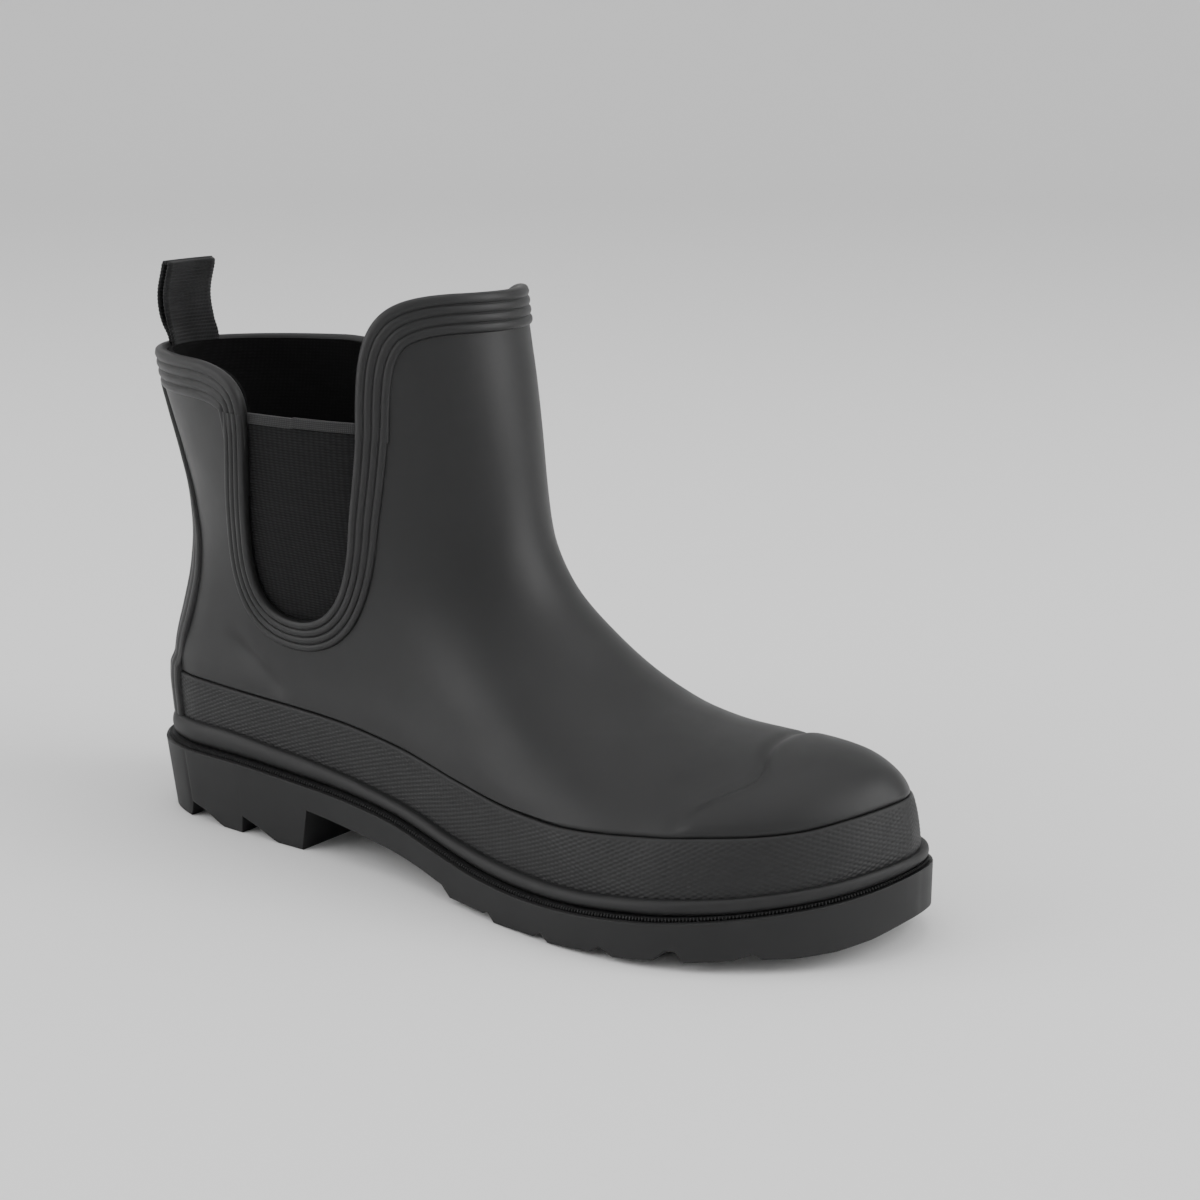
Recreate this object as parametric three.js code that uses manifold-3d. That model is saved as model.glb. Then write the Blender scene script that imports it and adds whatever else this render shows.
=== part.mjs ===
// Right-foot rubber Chelsea rain boot, as an assembly of named solids.
// Millimetres, +Z up, +Y towards the toe, +X towards the outer side of the foot.
// Everything is drawn with the back of the heel at y = 0, and the finished group is then
// moved so that its origin is the bottom centre of the whole boot.
import * as THREE from "three";
import { mergeVertices } from "three/addons/utils/BufferGeometryUtils.js";
import Module from "manifold-3d";

const wasm = await Module();
wasm.setup();

// ---------------------------------------------------------------- driving dimensions
const SOLE_LENGTH = 285;
const GAP = 0.3; // clearance between touching pieces
const UPPER_INSET = 6.5; // the upper stands this far inside the sole's edge
const TOE_INSET = 4.4; // and this far at the toe
const UPPER_THICK = 2.0;
const REINFORCEMENT_THICK = 1.0; // gores, toe puff and heel counter lie in this layer
const LINING_OUTER = 3.8; // depth of the lining's faces below the rubber's outer face
const LINING_INNER = 4.9;
const TRIM_THICK = 1.4;
const FOXING_THICK = 1.2;
const BACK_STRIP_THICK = 0.9;
const BACK_STRIP_HALF = 24; // half width, either side of the middle plane
const BACK_STRIP_REACH = 40; // the strip stays behind this y
const COLLAR_TRIM_WIDTH = 11.5;
const GORE_TRIM_WIDTH = 10;
const GORE_OVERLAP = 5; // how far the elastic reaches behind the rubber
const REAR_RIM_Z = 158;
const FRONT_RIM_Z = 183.5;
const GORE_TOP_Z = 143.5;
const BINDING_HEIGHT = 4;
const TOE_OFFSET = -8; // the toe's tip lies towards the inner side
const LOOP_WIDTH = 22;
const LOOP_TOP_Z = 186;
const WEBBING_THICK = 1.3;
const AROUND = 40; // facets round the boot
const UP = 18; // facets from sole to rim
const SIDE_REACH = 90; // half length of a cutter that runs through the boot

// Outline of the sole seen from above: [y, x] from heel to toe on each side.
const OUTER_EDGE = [
  [0, 0], [1.5, 12], [6, 22], [15, 30.5], [32, 36], [58, 37.2], [90, 36.8], [120, 38.8],
  [150, 45], [180, 51.5], [205, 54.3], [225, 52.8], [245, 46], [262, 34.5], [274, 22],
  [282, 7], [SOLE_LENGTH, TOE_OFFSET],
];
const INNER_EDGE = [
  [0, 0], [1.5, -12], [6, -22], [15, -30.5], [32, -35.5], [58, -35.8], [90, -33], [120, -34],
  [150, -41], [180, -48], [205, -51.7], [225, -51.7], [245, -48.4], [262, -41.2], [274, -32.4],
  [282, -21.4], [SOLE_LENGTH, TOE_OFFSET],
];
// Height of the sole's top edge: [y, z].
const LEDGE = [
  [0, 25], [45, 25], [84, 22.6], [115, 19.6], [140, 15.4], [165, 11.8],
  [185, 11], [205, 11.8], [225, 13.4], [242, 15.3], [257, 17.4], [271, 19.8], [280, 22], [SOLE_LENGTH, 24],
];
// Upper and lower edges of the foxing band: [y, z].
const FOXING_TOP = [
  [0, 49.5], [25, 49], [60, 47.4], [95, 45], [115, 42.7], [132, 40.2], [150, 37.6], [178, 34.6],
  [194, 33.8], [210, 34.4], [225, 35.6], [240, 37.2], [262, 39.6], [272, 42.2], [SOLE_LENGTH, 46.5],
];
const FOXING_BOTTOM = [
  [0, 33.6], [40, 33.8], [72, 31.2], [95, 28.4], [115, 25.4], [132, 22.6], [151, 19.2],
  [170, 17.4], [188, 16.8], [204, 17.2], [224, 19], [241, 20.9], [255, 22.6], [270, 25],
  [SOLE_LENGTH, 28.6],
];
// Front profile of the upper in the middle plane, from the toe up to the rim: [y, z].
const FRONT_PROFILE = [
  [280.6, 10], [280.6, 32], [278.7, 43.3], [271.4, 52.2], [258, 56.2], [241, 57], [222, 57.8],
  [203, 60.8], [186.5, 68.8], [172.5, 80], [160.5, 92], [152.5, 107], [149.5, 122.5],
  [147.7, 138], [145.7, 153], [143.2, 167], [141, 180], [139.5, 192],
];
// Back profile of the upper in the middle plane: [z, y].
const BACK_PROFILE = [
  [10, 6.5], [24, 6.3], [38, 4.9], [46, 4.2], [58, 5.2], [72, 8], [86, 10.6], [98, 11.7],
  [110, 10.9], [124, 7.9], [138, 3.4], [150, -0.4], [162, -2.6], [176, -4.6],
];
// Half width of the shaft: [z, x].
const SHAFT_HALF_WIDTH = [
  [30, 36], [80, 36.5], [95, 37], [110, 38], [130, 40], [150, 41.5], [165, 42], [190, 42],
];

// ---------------------------------------------------------------- curves
const ease = (t) => {
  const c = Math.min(1, Math.max(0, t));
  return c * c * (3 - 2 * c);
};
const mix = (a, b, t) => a + (b - a) * t;

// Smooth curve through [x, y] points that never overshoots them (monotone cubic).
function through(points) {
  const n = points.length;
  const xs = points.map((p) => p[0]);
  const ys = points.map((p) => p[1]);
  const h = xs.slice(1).map((x, i) => x - xs[i]);
  const slope = h.map((d, i) => (ys[i + 1] - ys[i]) / d);
  const m = new Array(n).fill(0);
  m[0] = slope[0];
  m[n - 1] = slope[n - 2];
  for (let i = 1; i < n - 1; i++) {
    if (slope[i - 1] * slope[i] <= 0) continue;
    const a = 2 * h[i] + h[i - 1];
    const b = h[i] + 2 * h[i - 1];
    m[i] = (a + b) / (a / slope[i - 1] + b / slope[i]);
  }
  return (x) => {
    let i = 0;
    while (i < n - 2 && x > xs[i + 1]) i++;
    const t = Math.min(1, Math.max(0, (x - xs[i]) / h[i]));
    const t2 = t * t;
    const t3 = t2 * t;
    return (
      (2 * t3 - 3 * t2 + 1) * ys[i] +
      (t3 - 2 * t2 + t) * h[i] * m[i] +
      (3 * t2 - 2 * t3) * ys[i + 1] +
      (t3 - t2) * h[i] * m[i + 1]
    );
  };
}

const angleOf = (y, y0, y1) => Math.acos(1 - 2 * Math.min(1, Math.max(0, (y - y0) / (y1 - y0))));
const edgeCurve = (points) => {
  const f = through(points.map(([y, x]) => [angleOf(y, 0, SOLE_LENGTH), x]));
  return (angle) => new THREE.Vector2(f(angle), (SOLE_LENGTH * (1 - Math.cos(angle))) / 2);
};
const outerEdge = edgeCurve(OUTER_EDGE);
const innerEdge = edgeCurve(INNER_EDGE);
const ledge = through(LEDGE);
const foxingTop = through(FOXING_TOP);
const foxingBottom = through(FOXING_BOTTOM);
const backY = through(BACK_PROFILE);
const shaftHalfWidth = through(SHAFT_HALF_WIDTH);

// Sole outline moved inwards by inset(y), as matching points on both sides, heel to toe.
function plan(inset, count = AROUND / 2) {
  const side = (edge, other, sign) =>
    Array.from({ length: count + 1 }, (_, i) => {
      const angle = (Math.PI * i) / count;
      const d = 1e-3;
      const ahead = angle + d > Math.PI ? other(2 * Math.PI - angle - d) : edge(angle + d);
      const behind = angle - d < 0 ? other(d - angle) : edge(angle - d);
      const tangent = ahead.sub(behind).normalize();
      const normal = new THREE.Vector2(tangent.y, -tangent.x).multiplyScalar(sign);
      const p = edge(angle);
      return p.sub(normal.multiplyScalar(typeof inset === "function" ? inset(p.y) : inset));
    });
  return { outer: side(outerEdge, innerEdge, 1), inner: side(innerEdge, outerEdge, -1) };
}

// Half width of the upper at the sole on one side, as a function of y.
const FINE = 240;
const toeward = (y) => ease((y - 215) / 50);
const upperInset = (y) => mix(UPPER_INSET, TOE_INSET, toeward(y));
const UPPER_BACK = UPPER_INSET;
const UPPER_FRONT = SOLE_LENGTH - TOE_INSET;
const centreX = (y) => TOE_OFFSET * ease((y - 110) / (UPPER_FRONT - 110));
function soleHalfWidth(points, sign) {
  const table = points.map((p) => [
    angleOf(p.y, UPPER_BACK, UPPER_FRONT),
    Math.max(0, sign * (p.x - centreX(p.y))),
  ]);
  const rising = table.filter((p, i) => i === 0 || p[0] > table[i - 1][0] + 1e-6);
  rising[0][1] = 0;
  rising[rising.length - 1][1] = 0;
  const f = through(rising);
  return (y) => f(angleOf(y, UPPER_BACK, UPPER_FRONT));
}
const upperPlan = plan(upperInset, FINE);
const outerHalfWidth = soleHalfWidth(upperPlan.outer, 1);
const innerHalfWidth = soleHalfWidth(upperPlan.inner, -1);

// The front profile as a curve by its length, and its height and reach looked up from it.
const frontCurve = (() => {
  const knots = [0];
  FRONT_PROFILE.slice(1).forEach(([y, z], i) => {
    knots.push(knots[i] + Math.hypot(y - FRONT_PROFILE[i][0], z - FRONT_PROFILE[i][1]));
  });
  const total = knots[knots.length - 1];
  const y = through(FRONT_PROFILE.map((p, i) => [knots[i], p[0]]));
  const z = through(FRONT_PROFILE.map((p, i) => [knots[i], p[1]]));
  const samples = Array.from({ length: FINE * 4 + 1 }, (_, i) => {
    const s = (total * i) / (FINE * 4);
    return { s, y: y(s), z: z(s) };
  });
  return { y, z, samples, total };
})();
function lookUp(key, value, rising, want) {
  const list = frontCurve.samples;
  let low = 0;
  let high = list.length - 1;
  while (high - low > 1) {
    const middle = (low + high) >> 1;
    if (list[middle][key] < value === rising) low = middle;
    else high = middle;
  }
  const a = list[low];
  const b = list[high];
  const t = Math.min(1, Math.max(0, (value - a[key]) / (b[key] - a[key] || 1)));
  return mix(a[want], b[want], t);
}
const frontY = (z) => lookUp("z", z, true, "y");
const topZ = (y) => lookUp("y", y, false, "z");
const profileLine = frontCurve.samples.filter((_, i) => i % 4 === 0);
// Distance in the side view from a point behind the front profile to it.
function profileDistance(y, z) {
  if (y >= frontY(z)) return 0;
  let best = Infinity;
  for (let i = 0; i + 1 < profileLine.length; i++) {
    const a = profileLine[i];
    const dy = profileLine[i + 1].y - a.y;
    const dz = profileLine[i + 1].z - a.z;
    const along = ((y - a.y) * dy + (z - a.z) * dz) / (dy * dy + dz * dz);
    const t = Math.min(1, Math.max(0, along));
    best = Math.min(best, Math.hypot(y - a.y - t * dy, z - a.z - t * dz));
  }
  return best;
}

// Distance of the rubber's outer face from the middle plane, signed by side, at one y and z.
const FOOT_LEVEL = 52;
const SHAFT_LEVEL = 118;
const INSTEP = { from: 175, length: 40 }; // ahead of it the roof and the toe round the foot off
function surfaceX(y, z, side) {
  const m = ease((z - FOOT_LEVEL) / (SHAFT_LEVEL - FOOT_LEVEL));
  const back = backY(z);
  const front = frontY(z);
  const halfWidth = side > 0 ? outerHalfWidth : innerHalfWidth;
  const followed = y - (back - UPPER_BACK) * (1 - ease((y - back) / 150));
  const above = Math.max(1e-3, topZ(y) - z);
  const ahead = Math.max(1e-3, front - y);
  const corner = 1 / Math.sqrt(1 / above ** 2 + ease((z - 45) / 25) / ahead ** 2);
  const toes = ease((y - INSTEP.from) / INSTEP.length);
  const near = m < 1 && toes < 1 ? mix(profileDistance(y, z), corner, toes) : corner;
  const reach = 42 + 20 * ease((z - 60) / 50) - 5 * toeward(y);
  const dome = Math.sqrt(Math.max(0, 1 - (1 - Math.min(1, near / reach)) ** 2.3));
  const lean = 1 - 0.1 * ease((z - 40) / 60);
  const foot = halfWidth(followed) * dome * lean;
  const across = (y - (back + front) / 2) / ((front - back) / 2);
  const shaft = shaftHalfWidth(z) * Math.sqrt(Math.max(0, 1 - across ** 2));
  return (1 - m) * (centreX(y) + side * foot) + m * side * shaft;
}

// A point on the rubber's outer face. u runs once round the boot from the back, over the outer
// side, v from the sole (0) to above the rim (1), depth inwards from the face.
const BOTTOM = { back: ledge(UPPER_BACK) + GAP, front: ledge(UPPER_FRONT) + GAP };
const TOP_BACK_Z = REAR_RIM_Z + 12;
const FRONT_START = frontCurve.samples.find((p) => p.z >= BOTTOM.front).s;
const FRONT_END = frontCurve.samples.find((p) => p.z >= FRONT_RIM_Z + 7).s;
const LEDGE_FADE = 0.45;
function onFace(u, v) {
  const along = (1 - Math.cos(u)) / 2;
  const s = mix(FRONT_START, FRONT_END, v);
  const backZ = mix(BOTTOM.back, TOP_BACK_Z, v);
  const y = mix(backY(backZ), frontCurve.y(s), along);
  const line = mix(BOTTOM.back, BOTTOM.front, along);
  const under = mix(UPPER_BACK, UPPER_FRONT, along);
  const bend = (ledge(under) + GAP - line) * (1 - ease(v / LEDGE_FADE));
  const z = mix(backZ, frontCurve.z(s), along) + bend;
  return new THREE.Vector3(surfaceX(y, z, Math.sin(u) >= 0 ? 1 : -1), y, z);
}
function atDepth(u, v, depth) {
  const d = 4e-3;
  const du = onFace(u + d, v).sub(onFace(u - d, v));
  const low = Math.max(0, v - d);
  const dv = onFace(u, Math.min(1, v + d)).sub(onFace(u, low));
  const normal = dv.cross(du).normalize();
  return onFace(u, v).addScaledVector(normal, depth);
}

// ---------------------------------------------------------------- solids
const solidOf = (geometry) => {
  const bare = geometry.clone();
  bare.deleteAttribute("normal");
  bare.deleteAttribute("uv");
  const merged = mergeVertices(bare, 1e-4);
  const mesh = new wasm.Mesh({
    numProp: 3,
    vertProperties: new Float32Array(merged.attributes.position.array),
    triVerts: new Uint32Array(merged.index.array),
  });
  return new wasm.Manifold(mesh);
};
const SLIVER = 0.02; // edges shorter than this, left by cuts, are closed up
const geometryOf = (solid) => {
  const { vertProperties, triVerts } = solid.asOriginal().simplify(SLIVER).getMesh();
  const geometry = new THREE.BufferGeometry();
  geometry.setAttribute("position", new THREE.BufferAttribute(vertProperties, 3));
  geometry.setIndex(new THREE.BufferAttribute(triVerts, 1));
  geometry.computeVertexNormals();
  return geometry;
};

// Closed surface over a grid of points: rows wrap round if closed, and so do columns.
// From row mirrorFrom on, the quads are split along their other diagonal.
function gridSolid(rows, wrapRows, wrapColumns, mirrorFrom = Infinity) {
  const height = rows.length;
  const width = rows[0].length;
  const index = [];
  for (let i = 0; i < (wrapRows ? height : height - 1); i++) {
    for (let j = 0; j < (wrapColumns ? width : width - 1); j++) {
      const a = i * width + j;
      const b = i * width + ((j + 1) % width);
      const c = ((i + 1) % height) * width + ((j + 1) % width);
      const d = ((i + 1) % height) * width + j;
      if (i < mirrorFrom) index.push(a, b, c, a, c, d);
      else index.push(a, b, d, b, c, d);
    }
  }
  const geometry = new THREE.BufferGeometry().setFromPoints(rows.flat());
  geometry.setIndex(index);
  return solidOf(geometry);
}

// A layer of the upper between two depths and two heights, on the same facets as every other layer.
function layer(outerDepth, innerDepth, from = 0, to = 1) {
  const steps = Array.from({ length: UP + 1 }, (_, i) => i / UP);
  const levels = [from, ...steps.filter((v) => v > from + 1e-2 && v <= to)];
  const round = (v, depth) =>
    Array.from({ length: AROUND }, (_, j) => atDepth((2 * Math.PI * j) / AROUND, v, depth));
  const outside = levels.map((v) => round(v, outerDepth));
  const inside = levels.map((v) => round(v, innerDepth)).reverse();
  return gridSolid([...outside, ...inside], true, true, outside.length);
}

// A plate between two heights whose outline is the sole's, moved in at its top and bottom.
function plate(topInset, bottomInset, topZAt, bottomZAt, across = 4) {
  const top = plan(topInset);
  const bottom = plan(bottomInset);
  const rows = top.outer.map((_, i) => {
    const line = (edges, zAt, back) =>
      Array.from({ length: across + 1 }, (_, j) => {
        const t = back ? 1 - j / across : j / across;
        const p = edges.inner[i].clone().lerp(edges.outer[i], t);
        return new THREE.Vector3(p.x, p.y, zAt(p.y));
      });
    return [...line(top, topZAt, false), ...line(bottom, bottomZAt, true)];
  });
  const width = rows[0].length;
  const close = (row) => row.map(() => row[0].clone());
  const ends = [rows[0], rows[rows.length - 1]].map((row) => {
    const low = row[width - 1];
    return row.map((p, j) => (j <= across ? row[0].clone() : low.clone()));
  });
  rows[0] = ends[0];
  rows[rows.length - 1] = ends[1];
  rows.unshift(close(ends[0]));
  rows.push(close(ends[1]));
  return gridSolid(rows, false, true);
}

// A ring round the sole: section gives [inset, z] points of its cross-section for one y.
function ring(section) {
  const count = section(0).length;
  const loops = Array.from({ length: count }, (_, k) => {
    const p = plan((y) => section(y)[k][0]);
    const loop = [...p.outer, ...p.inner.slice(1, -1).reverse()];
    return loop.map((q) => new THREE.Vector3(q.x, q.y, section(q.y)[k][1]));
  });
  return gridSolid(loops, true, true);
}

// A shape drawn in the side view (y, z), run through the boot from one x to another.
function through2D(points, fromX = -SIDE_REACH, toX = SIDE_REACH) {
  const shape = new THREE.Shape(points);
  const geometry = new THREE.ExtrudeGeometry(shape, { depth: toX - fromX, bevelEnabled: false });
  const turn = new THREE.Matrix4().makeBasis(
    new THREE.Vector3(0, 1, 0),
    new THREE.Vector3(0, 0, 1),
    new THREE.Vector3(1, 0, 0),
  );
  return solidOf(geometry.applyMatrix4(turn).translate(fromX, 0, 0));
}
const v2 = (y, z) => new THREE.Vector2(y, z);

// ---------------------------------------------------------------- rim and gore outline
// Edge of the rubber in the side view, from the back rim down round the gore to the front rim.
const rimPath = () => {
  const path = new THREE.Path();
  path.moveTo(-20, REAR_RIM_Z);
  path.lineTo(40, REAR_RIM_Z + 0.6);
  path.bezierCurveTo(56, REAR_RIM_Z + 0.4, 65.2, 154, 65.4, GORE_TOP_Z);
  path.bezierCurveTo(64.9, 130, 61.2, 112, 59.1, 100);
  path.bezierCurveTo(56.4, 84, 63.4, 75.8, 77, 75.8);
  path.bezierCurveTo(91, 75.8, 101, 88, 104.5, 108);
  path.bezierCurveTo(106.5, 120, 109, 132, 109.3, GORE_TOP_Z);
  path.bezierCurveTo(109.6, 170, 111, 182, 134, FRONT_RIM_Z);
  path.lineTo(175, FRONT_RIM_Z + 1.2);
  return path;
};
// Where each part of the path starts and ends, in curve pieces of rimPath.
const REAR_RIM = [0, 2];
const GORE_EDGE = [2, 6];
const FRONT_RIM = [6, 8];
function rimPoints([from, to], divisions = 7) {
  const curves = rimPath().curves.slice(from, to);
  const points = curves.flatMap((c, i) => {
    const steps = c.isLineCurve ? 1 : divisions;
    return c.getPoints(steps).slice(i === 0 ? 0 : 1);
  });
  return points;
}
// The points moved to the rubber's side of the edge.
function moved(points, distance) {
  return points.map((p, i) => {
    const a = points[Math.max(0, i - 1)];
    const b = points[Math.min(points.length - 1, i + 1)];
    const t = b.clone().sub(a).normalize();
    return p.clone().add(new THREE.Vector2(t.y, -t.x).multiplyScalar(distance));
  });
}
const ABOVE = 230;
const rimCut = through2D([...rimPoints([0, 8]), v2(175, ABOVE), v2(-20, ABOVE)]);
const band = (points, width, fromX, toX) =>
  through2D([...points, ...moved(points, width).reverse()], fromX, toX);

// ---------------------------------------------------------------- upper
const upperShell = () => layer(0, UPPER_THICK).subtract(rimCut);
const trimLayer = layer(-GAP - TRIM_THICK, -GAP);
const collarTrim = (part) =>
  trimLayer.intersect(band(rimPoints(part), COLLAR_TRIM_WIDTH)).subtract(goreTrimCut);
const goreTrimPoints = rimPoints(GORE_EDGE);
const goreTrimCut = band(moved(goreTrimPoints, -GAP), GORE_TRIM_WIDTH + 2 * GAP);
const sideRange = (side) => (side > 0 ? [0, SIDE_REACH] : [-SIDE_REACH, 0]);
const goreTrim = (side) =>
  trimLayer.intersect(band(goreTrimPoints, GORE_TRIM_WIDTH, ...sideRange(side)));

// ---------------------------------------------------------------- gores
const goreLayer = layer(UPPER_THICK + GAP, UPPER_THICK + GAP + REINFORCEMENT_THICK, 0.1, 0.95);
const goreOutline = (grow) => moved(rimPoints(GORE_EDGE, 6), grow);
function gorePanel(side) {
  const cut = through2D(goreOutline(GORE_OVERLAP), ...sideRange(side));
  const below = through2D(box2D(0, 0, 200, GORE_TOP_Z - BINDING_HEIGHT - GAP));
  return goreLayer.intersect(cut).intersect(below);
}
function goreBinding(side) {
  const cut = through2D(goreOutline(GORE_OVERLAP), ...sideRange(side));
  const slab = through2D(box2D(0, GORE_TOP_Z - BINDING_HEIGHT, 200, GORE_TOP_Z));
  return goreLayer.intersect(cut).intersect(slab);
}
function box2D(y0, z0, y1, z1) {
  return [v2(y0, z0), v2(y1, z0), v2(y1, z1), v2(y0, z1)];
}

// ---------------------------------------------------------------- reinforcements and lining
const FOOT_ROW = 0.02; // first row above the insole board
const TOE_PUFF_Y = 238;
const HEEL_COUNTER_Z = 84;
const toePuffOutline = [
  v2(TOE_PUFF_Y, 0), v2(300, 0), v2(300, 100), v2(TOE_PUFF_Y + 6, 100),
];
const heelCounterOutline = [
  v2(-20, 0), v2(74, 0), v2(62, 42), v2(36, HEEL_COUNTER_Z - 8), v2(20, HEEL_COUNTER_Z),
  v2(-20, HEEL_COUNTER_Z),
];
const TOE_PUFF_THICK = 0.5;
const stiffener = (depth, thick, outline) =>
  layer(depth, depth + thick, FOOT_ROW, 0.67).intersect(through2D(outline));
const toePuff = () => stiffener(UPPER_THICK + 2 * GAP, TOE_PUFF_THICK, toePuffOutline);
const heelCounter = () => stiffener(UPPER_THICK + GAP, REINFORCEMENT_THICK, heelCounterOutline);
function lining() {
  const rim = moved(rimPoints(REAR_RIM), 1);
  const front = moved(rimPoints(FRONT_RIM), 1);
  const cut = through2D([...rim, ...front, v2(175, ABOVE), v2(-20, ABOVE)]);
  return layer(LINING_OUTER, LINING_INNER, FOOT_ROW).subtract(cut);
}

// ---------------------------------------------------------------- foxing, bead and back strip
function foxingBand() {
  const steps = Array.from({ length: 25 }, (_, i) => (SOLE_LENGTH * i) / 24);
  const top = [v2(-20, foxingTop(0)), ...steps.map((y) => v2(y, foxingTop(y)))];
  const bottom = [v2(-20, foxingBottom(0)), ...steps.map((y) => v2(y, foxingBottom(y)))];
  const end = [v2(300, foxingTop(SOLE_LENGTH)), v2(300, foxingBottom(SOLE_LENGTH))];
  const region = through2D([...top, ...end, ...bottom.reverse()].reverse());
  return layer(-GAP - FOXING_THICK, -GAP, 0, 0.5).intersect(region);
}
const BEAD_ROOT = 0.6;
const beadBulge = (y) => mix(2.6, 1.6, toeward(y)); // how far the half-round stands out
const ringInner = (y) => upperInset(y) - 1.1; // rings stand clear of the facets of the upper
const STRIP_HEIGHT = 1.0;
const beadBase = (y) => ledge(y) + STRIP_HEIGHT + 2 * GAP;
const beadTop = (y) => Math.max(beadBase(y) + 2, foxingBottom(y) - 3 * GAP);
function weltBead() {
  return ring((y) => {
    const middle = (beadBase(y) + beadTop(y)) / 2;
    const radius = (beadTop(y) - beadBase(y)) / 2;
    const proud = (a) => ringInner(y) - BEAD_ROOT - beadBulge(y) * Math.cos(a);
    return [-90, -45, 0, 45, 90]
      .map((degrees) => THREE.MathUtils.degToRad(degrees))
      .map((a) => [proud(a), middle + radius * Math.sin(a)])
      .concat([[ringInner(y), beadTop(y)], [ringInner(y), beadBase(y)]]);
  });
}
const weltStrip = () =>
  ring((y) => {
    const low = ledge(y) + GAP;
    const high = low + STRIP_HEIGHT;
    return [[1.4, low], [1.4, high], [ringInner(y), high], [ringInner(y), low]];
  });
// A wide strip over the back of the upper, which steps out over the foxing band.
function backStrip() {
  const step = foxingTop(0) + 2 * GAP;
  const slab = (outer, inner, low, high) => {
    const cut = through2D(box2D(-SIDE_REACH, low, BACK_STRIP_REACH, high), -BACK_STRIP_HALF, BACK_STRIP_HALF);
    return layer(-outer, -inner).intersect(cut);
  };
  const bare = [GAP + BACK_STRIP_THICK, GAP];
  const over = [2 * GAP + FOXING_THICK + BACK_STRIP_THICK, 2 * GAP + FOXING_THICK];
  const top = REAR_RIM_Z - COLLAR_TRIM_WIDTH - 2 * GAP;
  return slab(...bare, step, top)
    .add(slab(over[0], bare[1], step, step + 2))
    .add(slab(...over, foxingBottom(0) + 1, step + 1));
}

// ---------------------------------------------------------------- sole
// Underside of the sole in the side view: heel lugs, breast, arch, forefoot lugs, toe: [y, z].
const TREAD = [
  [-5, 6], [0, 5.5], [1.5, 2.2], [5, 0.4], [8, 0],
  [27, 0], [28, 5.8], [35, 4], [42, 0.6], [44, 0],
  [53, 0], [54, 6], [61, 3.6], [68, 0.5], [70, 0],
  [81, 0], [84, 14.2], [100, 12.2], [121, 9.6], [136, 7.2], [147, 5],
  [151, 1.8], [167, 1.6], [169, 2.6], [172, 0],
  [189, 0.6], [192, 2.4], [195, 0.2], [211, 1.4], [214, 3.4], [218.5, 1.2],
  [231, 2.6], [234.5, 5.8], [237.5, 5.9], [239.5, 2.8], [252, 4.2], [257, 6.4], [259, 4.6],
  [266, 4.6], [274, 5.6], [280, 7.4], [284, 9.8], [290, 12.5],
];
const tread = (lift) => TREAD.map(([y, z]) => v2(y, z + lift));
const SHANK = { from: 66, to: 152, half: 7, thick: 1.5 };
const CORE = { from: 14, to: 66, low: 12, inset: 13 };
const ALONG_CUT = 3.5;
function shankPlate(grow, roof) {
  const { from, to, half, thick } = SHANK;
  const count = 8;
  const rows = [];
  for (let i = 0; i <= count; i++) {
    const y = mix(from - grow, to + grow, i / count);
    const low = ledge(y) - thick - GAP - grow;
    const high = ledge(y) - GAP + roof;
    const w = half + grow;
    const corners = [[-w, high], [w, high], [w, low], [-w, low]];
    rows.push(corners.map(([x, z]) => new THREE.Vector3(x, y, z)));
  }
  const cap = (row) => row.map((p, j) => row[[0, 1, 1, 0][j]].clone());
  return gridSolid([cap(rows[0]), ...rows, cap(rows[count])], false, true);
}
function heelCoreBlock(grow, roof) {
  const side = through2D(
    box2D(CORE.from - grow, CORE.low - grow, CORE.to + grow, ledge(CORE.to) - 3 + roof),
  );
  return plate(CORE.inset - grow, CORE.inset - grow, () => 40, () => 0).intersect(side);
}
function outsole() {
  const wallIn = (y) => mix(3, 0.2, ease((y - 10) / 120));
  const body = plate(0, wallIn, ledge, () => -1, 6);
  const under = through2D([...tread(0), v2(290, 60), v2(-5, 60)]);
  const channel = through2D([v2(5, -5), ...tread(ALONG_CUT).slice(4, 38), v2(262, -5)], -3, 3);
  return body
    .intersect(under)
    .subtract(channel)
    .subtract(shankPlate(GAP, 5))
    .subtract(heelCoreBlock(GAP, 8));
}

// ---------------------------------------------------------------- insole board and footbed
const BOARD_THICK = 2;
const boardTop = (y) => ledge(y) + GAP + BOARD_THICK;
const insoleBoard = () => {
  const inset = UPPER_INSET + UPPER_THICK + 1;
  return plate(inset, inset, boardTop, (y) => ledge(y) + GAP, 2);
};
const FOOTBED_INSET = UPPER_INSET + LINING_INNER + 2.6;
const FOOTBED_THICK = 3.6;
const footbed = () =>
  plate(FOOTBED_INSET, FOOTBED_INSET, (y) => boardTop(y) + GAP + FOOTBED_THICK,
    (y) => boardTop(y) + GAP, 4);

// ---------------------------------------------------------------- pull loop
const LOOP_BASE_Z = REAR_RIM_Z + 2.7;
const LOOP_Y = 0.6; // middle of the loop, over its sewn-in ends
const LOOP_HALF_DEPTH = 2.1;
function pullLoop() {
  const outline = new THREE.Shape();
  const r = LOOP_HALF_DEPTH;
  const inner = r - WEBBING_THICK;
  const top = LOOP_TOP_Z - r;
  outline.moveTo(-r, LOOP_BASE_Z);
  outline.lineTo(-inner, LOOP_BASE_Z);
  outline.lineTo(-inner, top);
  outline.absarc(0, top, inner, Math.PI, 0, true);
  outline.lineTo(inner, LOOP_BASE_Z);
  outline.lineTo(r, LOOP_BASE_Z);
  outline.lineTo(r, top);
  outline.absarc(0, top, r, 0, Math.PI, false);
  const points = outline.getPoints(5).map((p) => v2(p.x + LOOP_Y, p.y));
  return through2D(points, -LOOP_WIDTH / 2, LOOP_WIDTH / 2);
}
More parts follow.
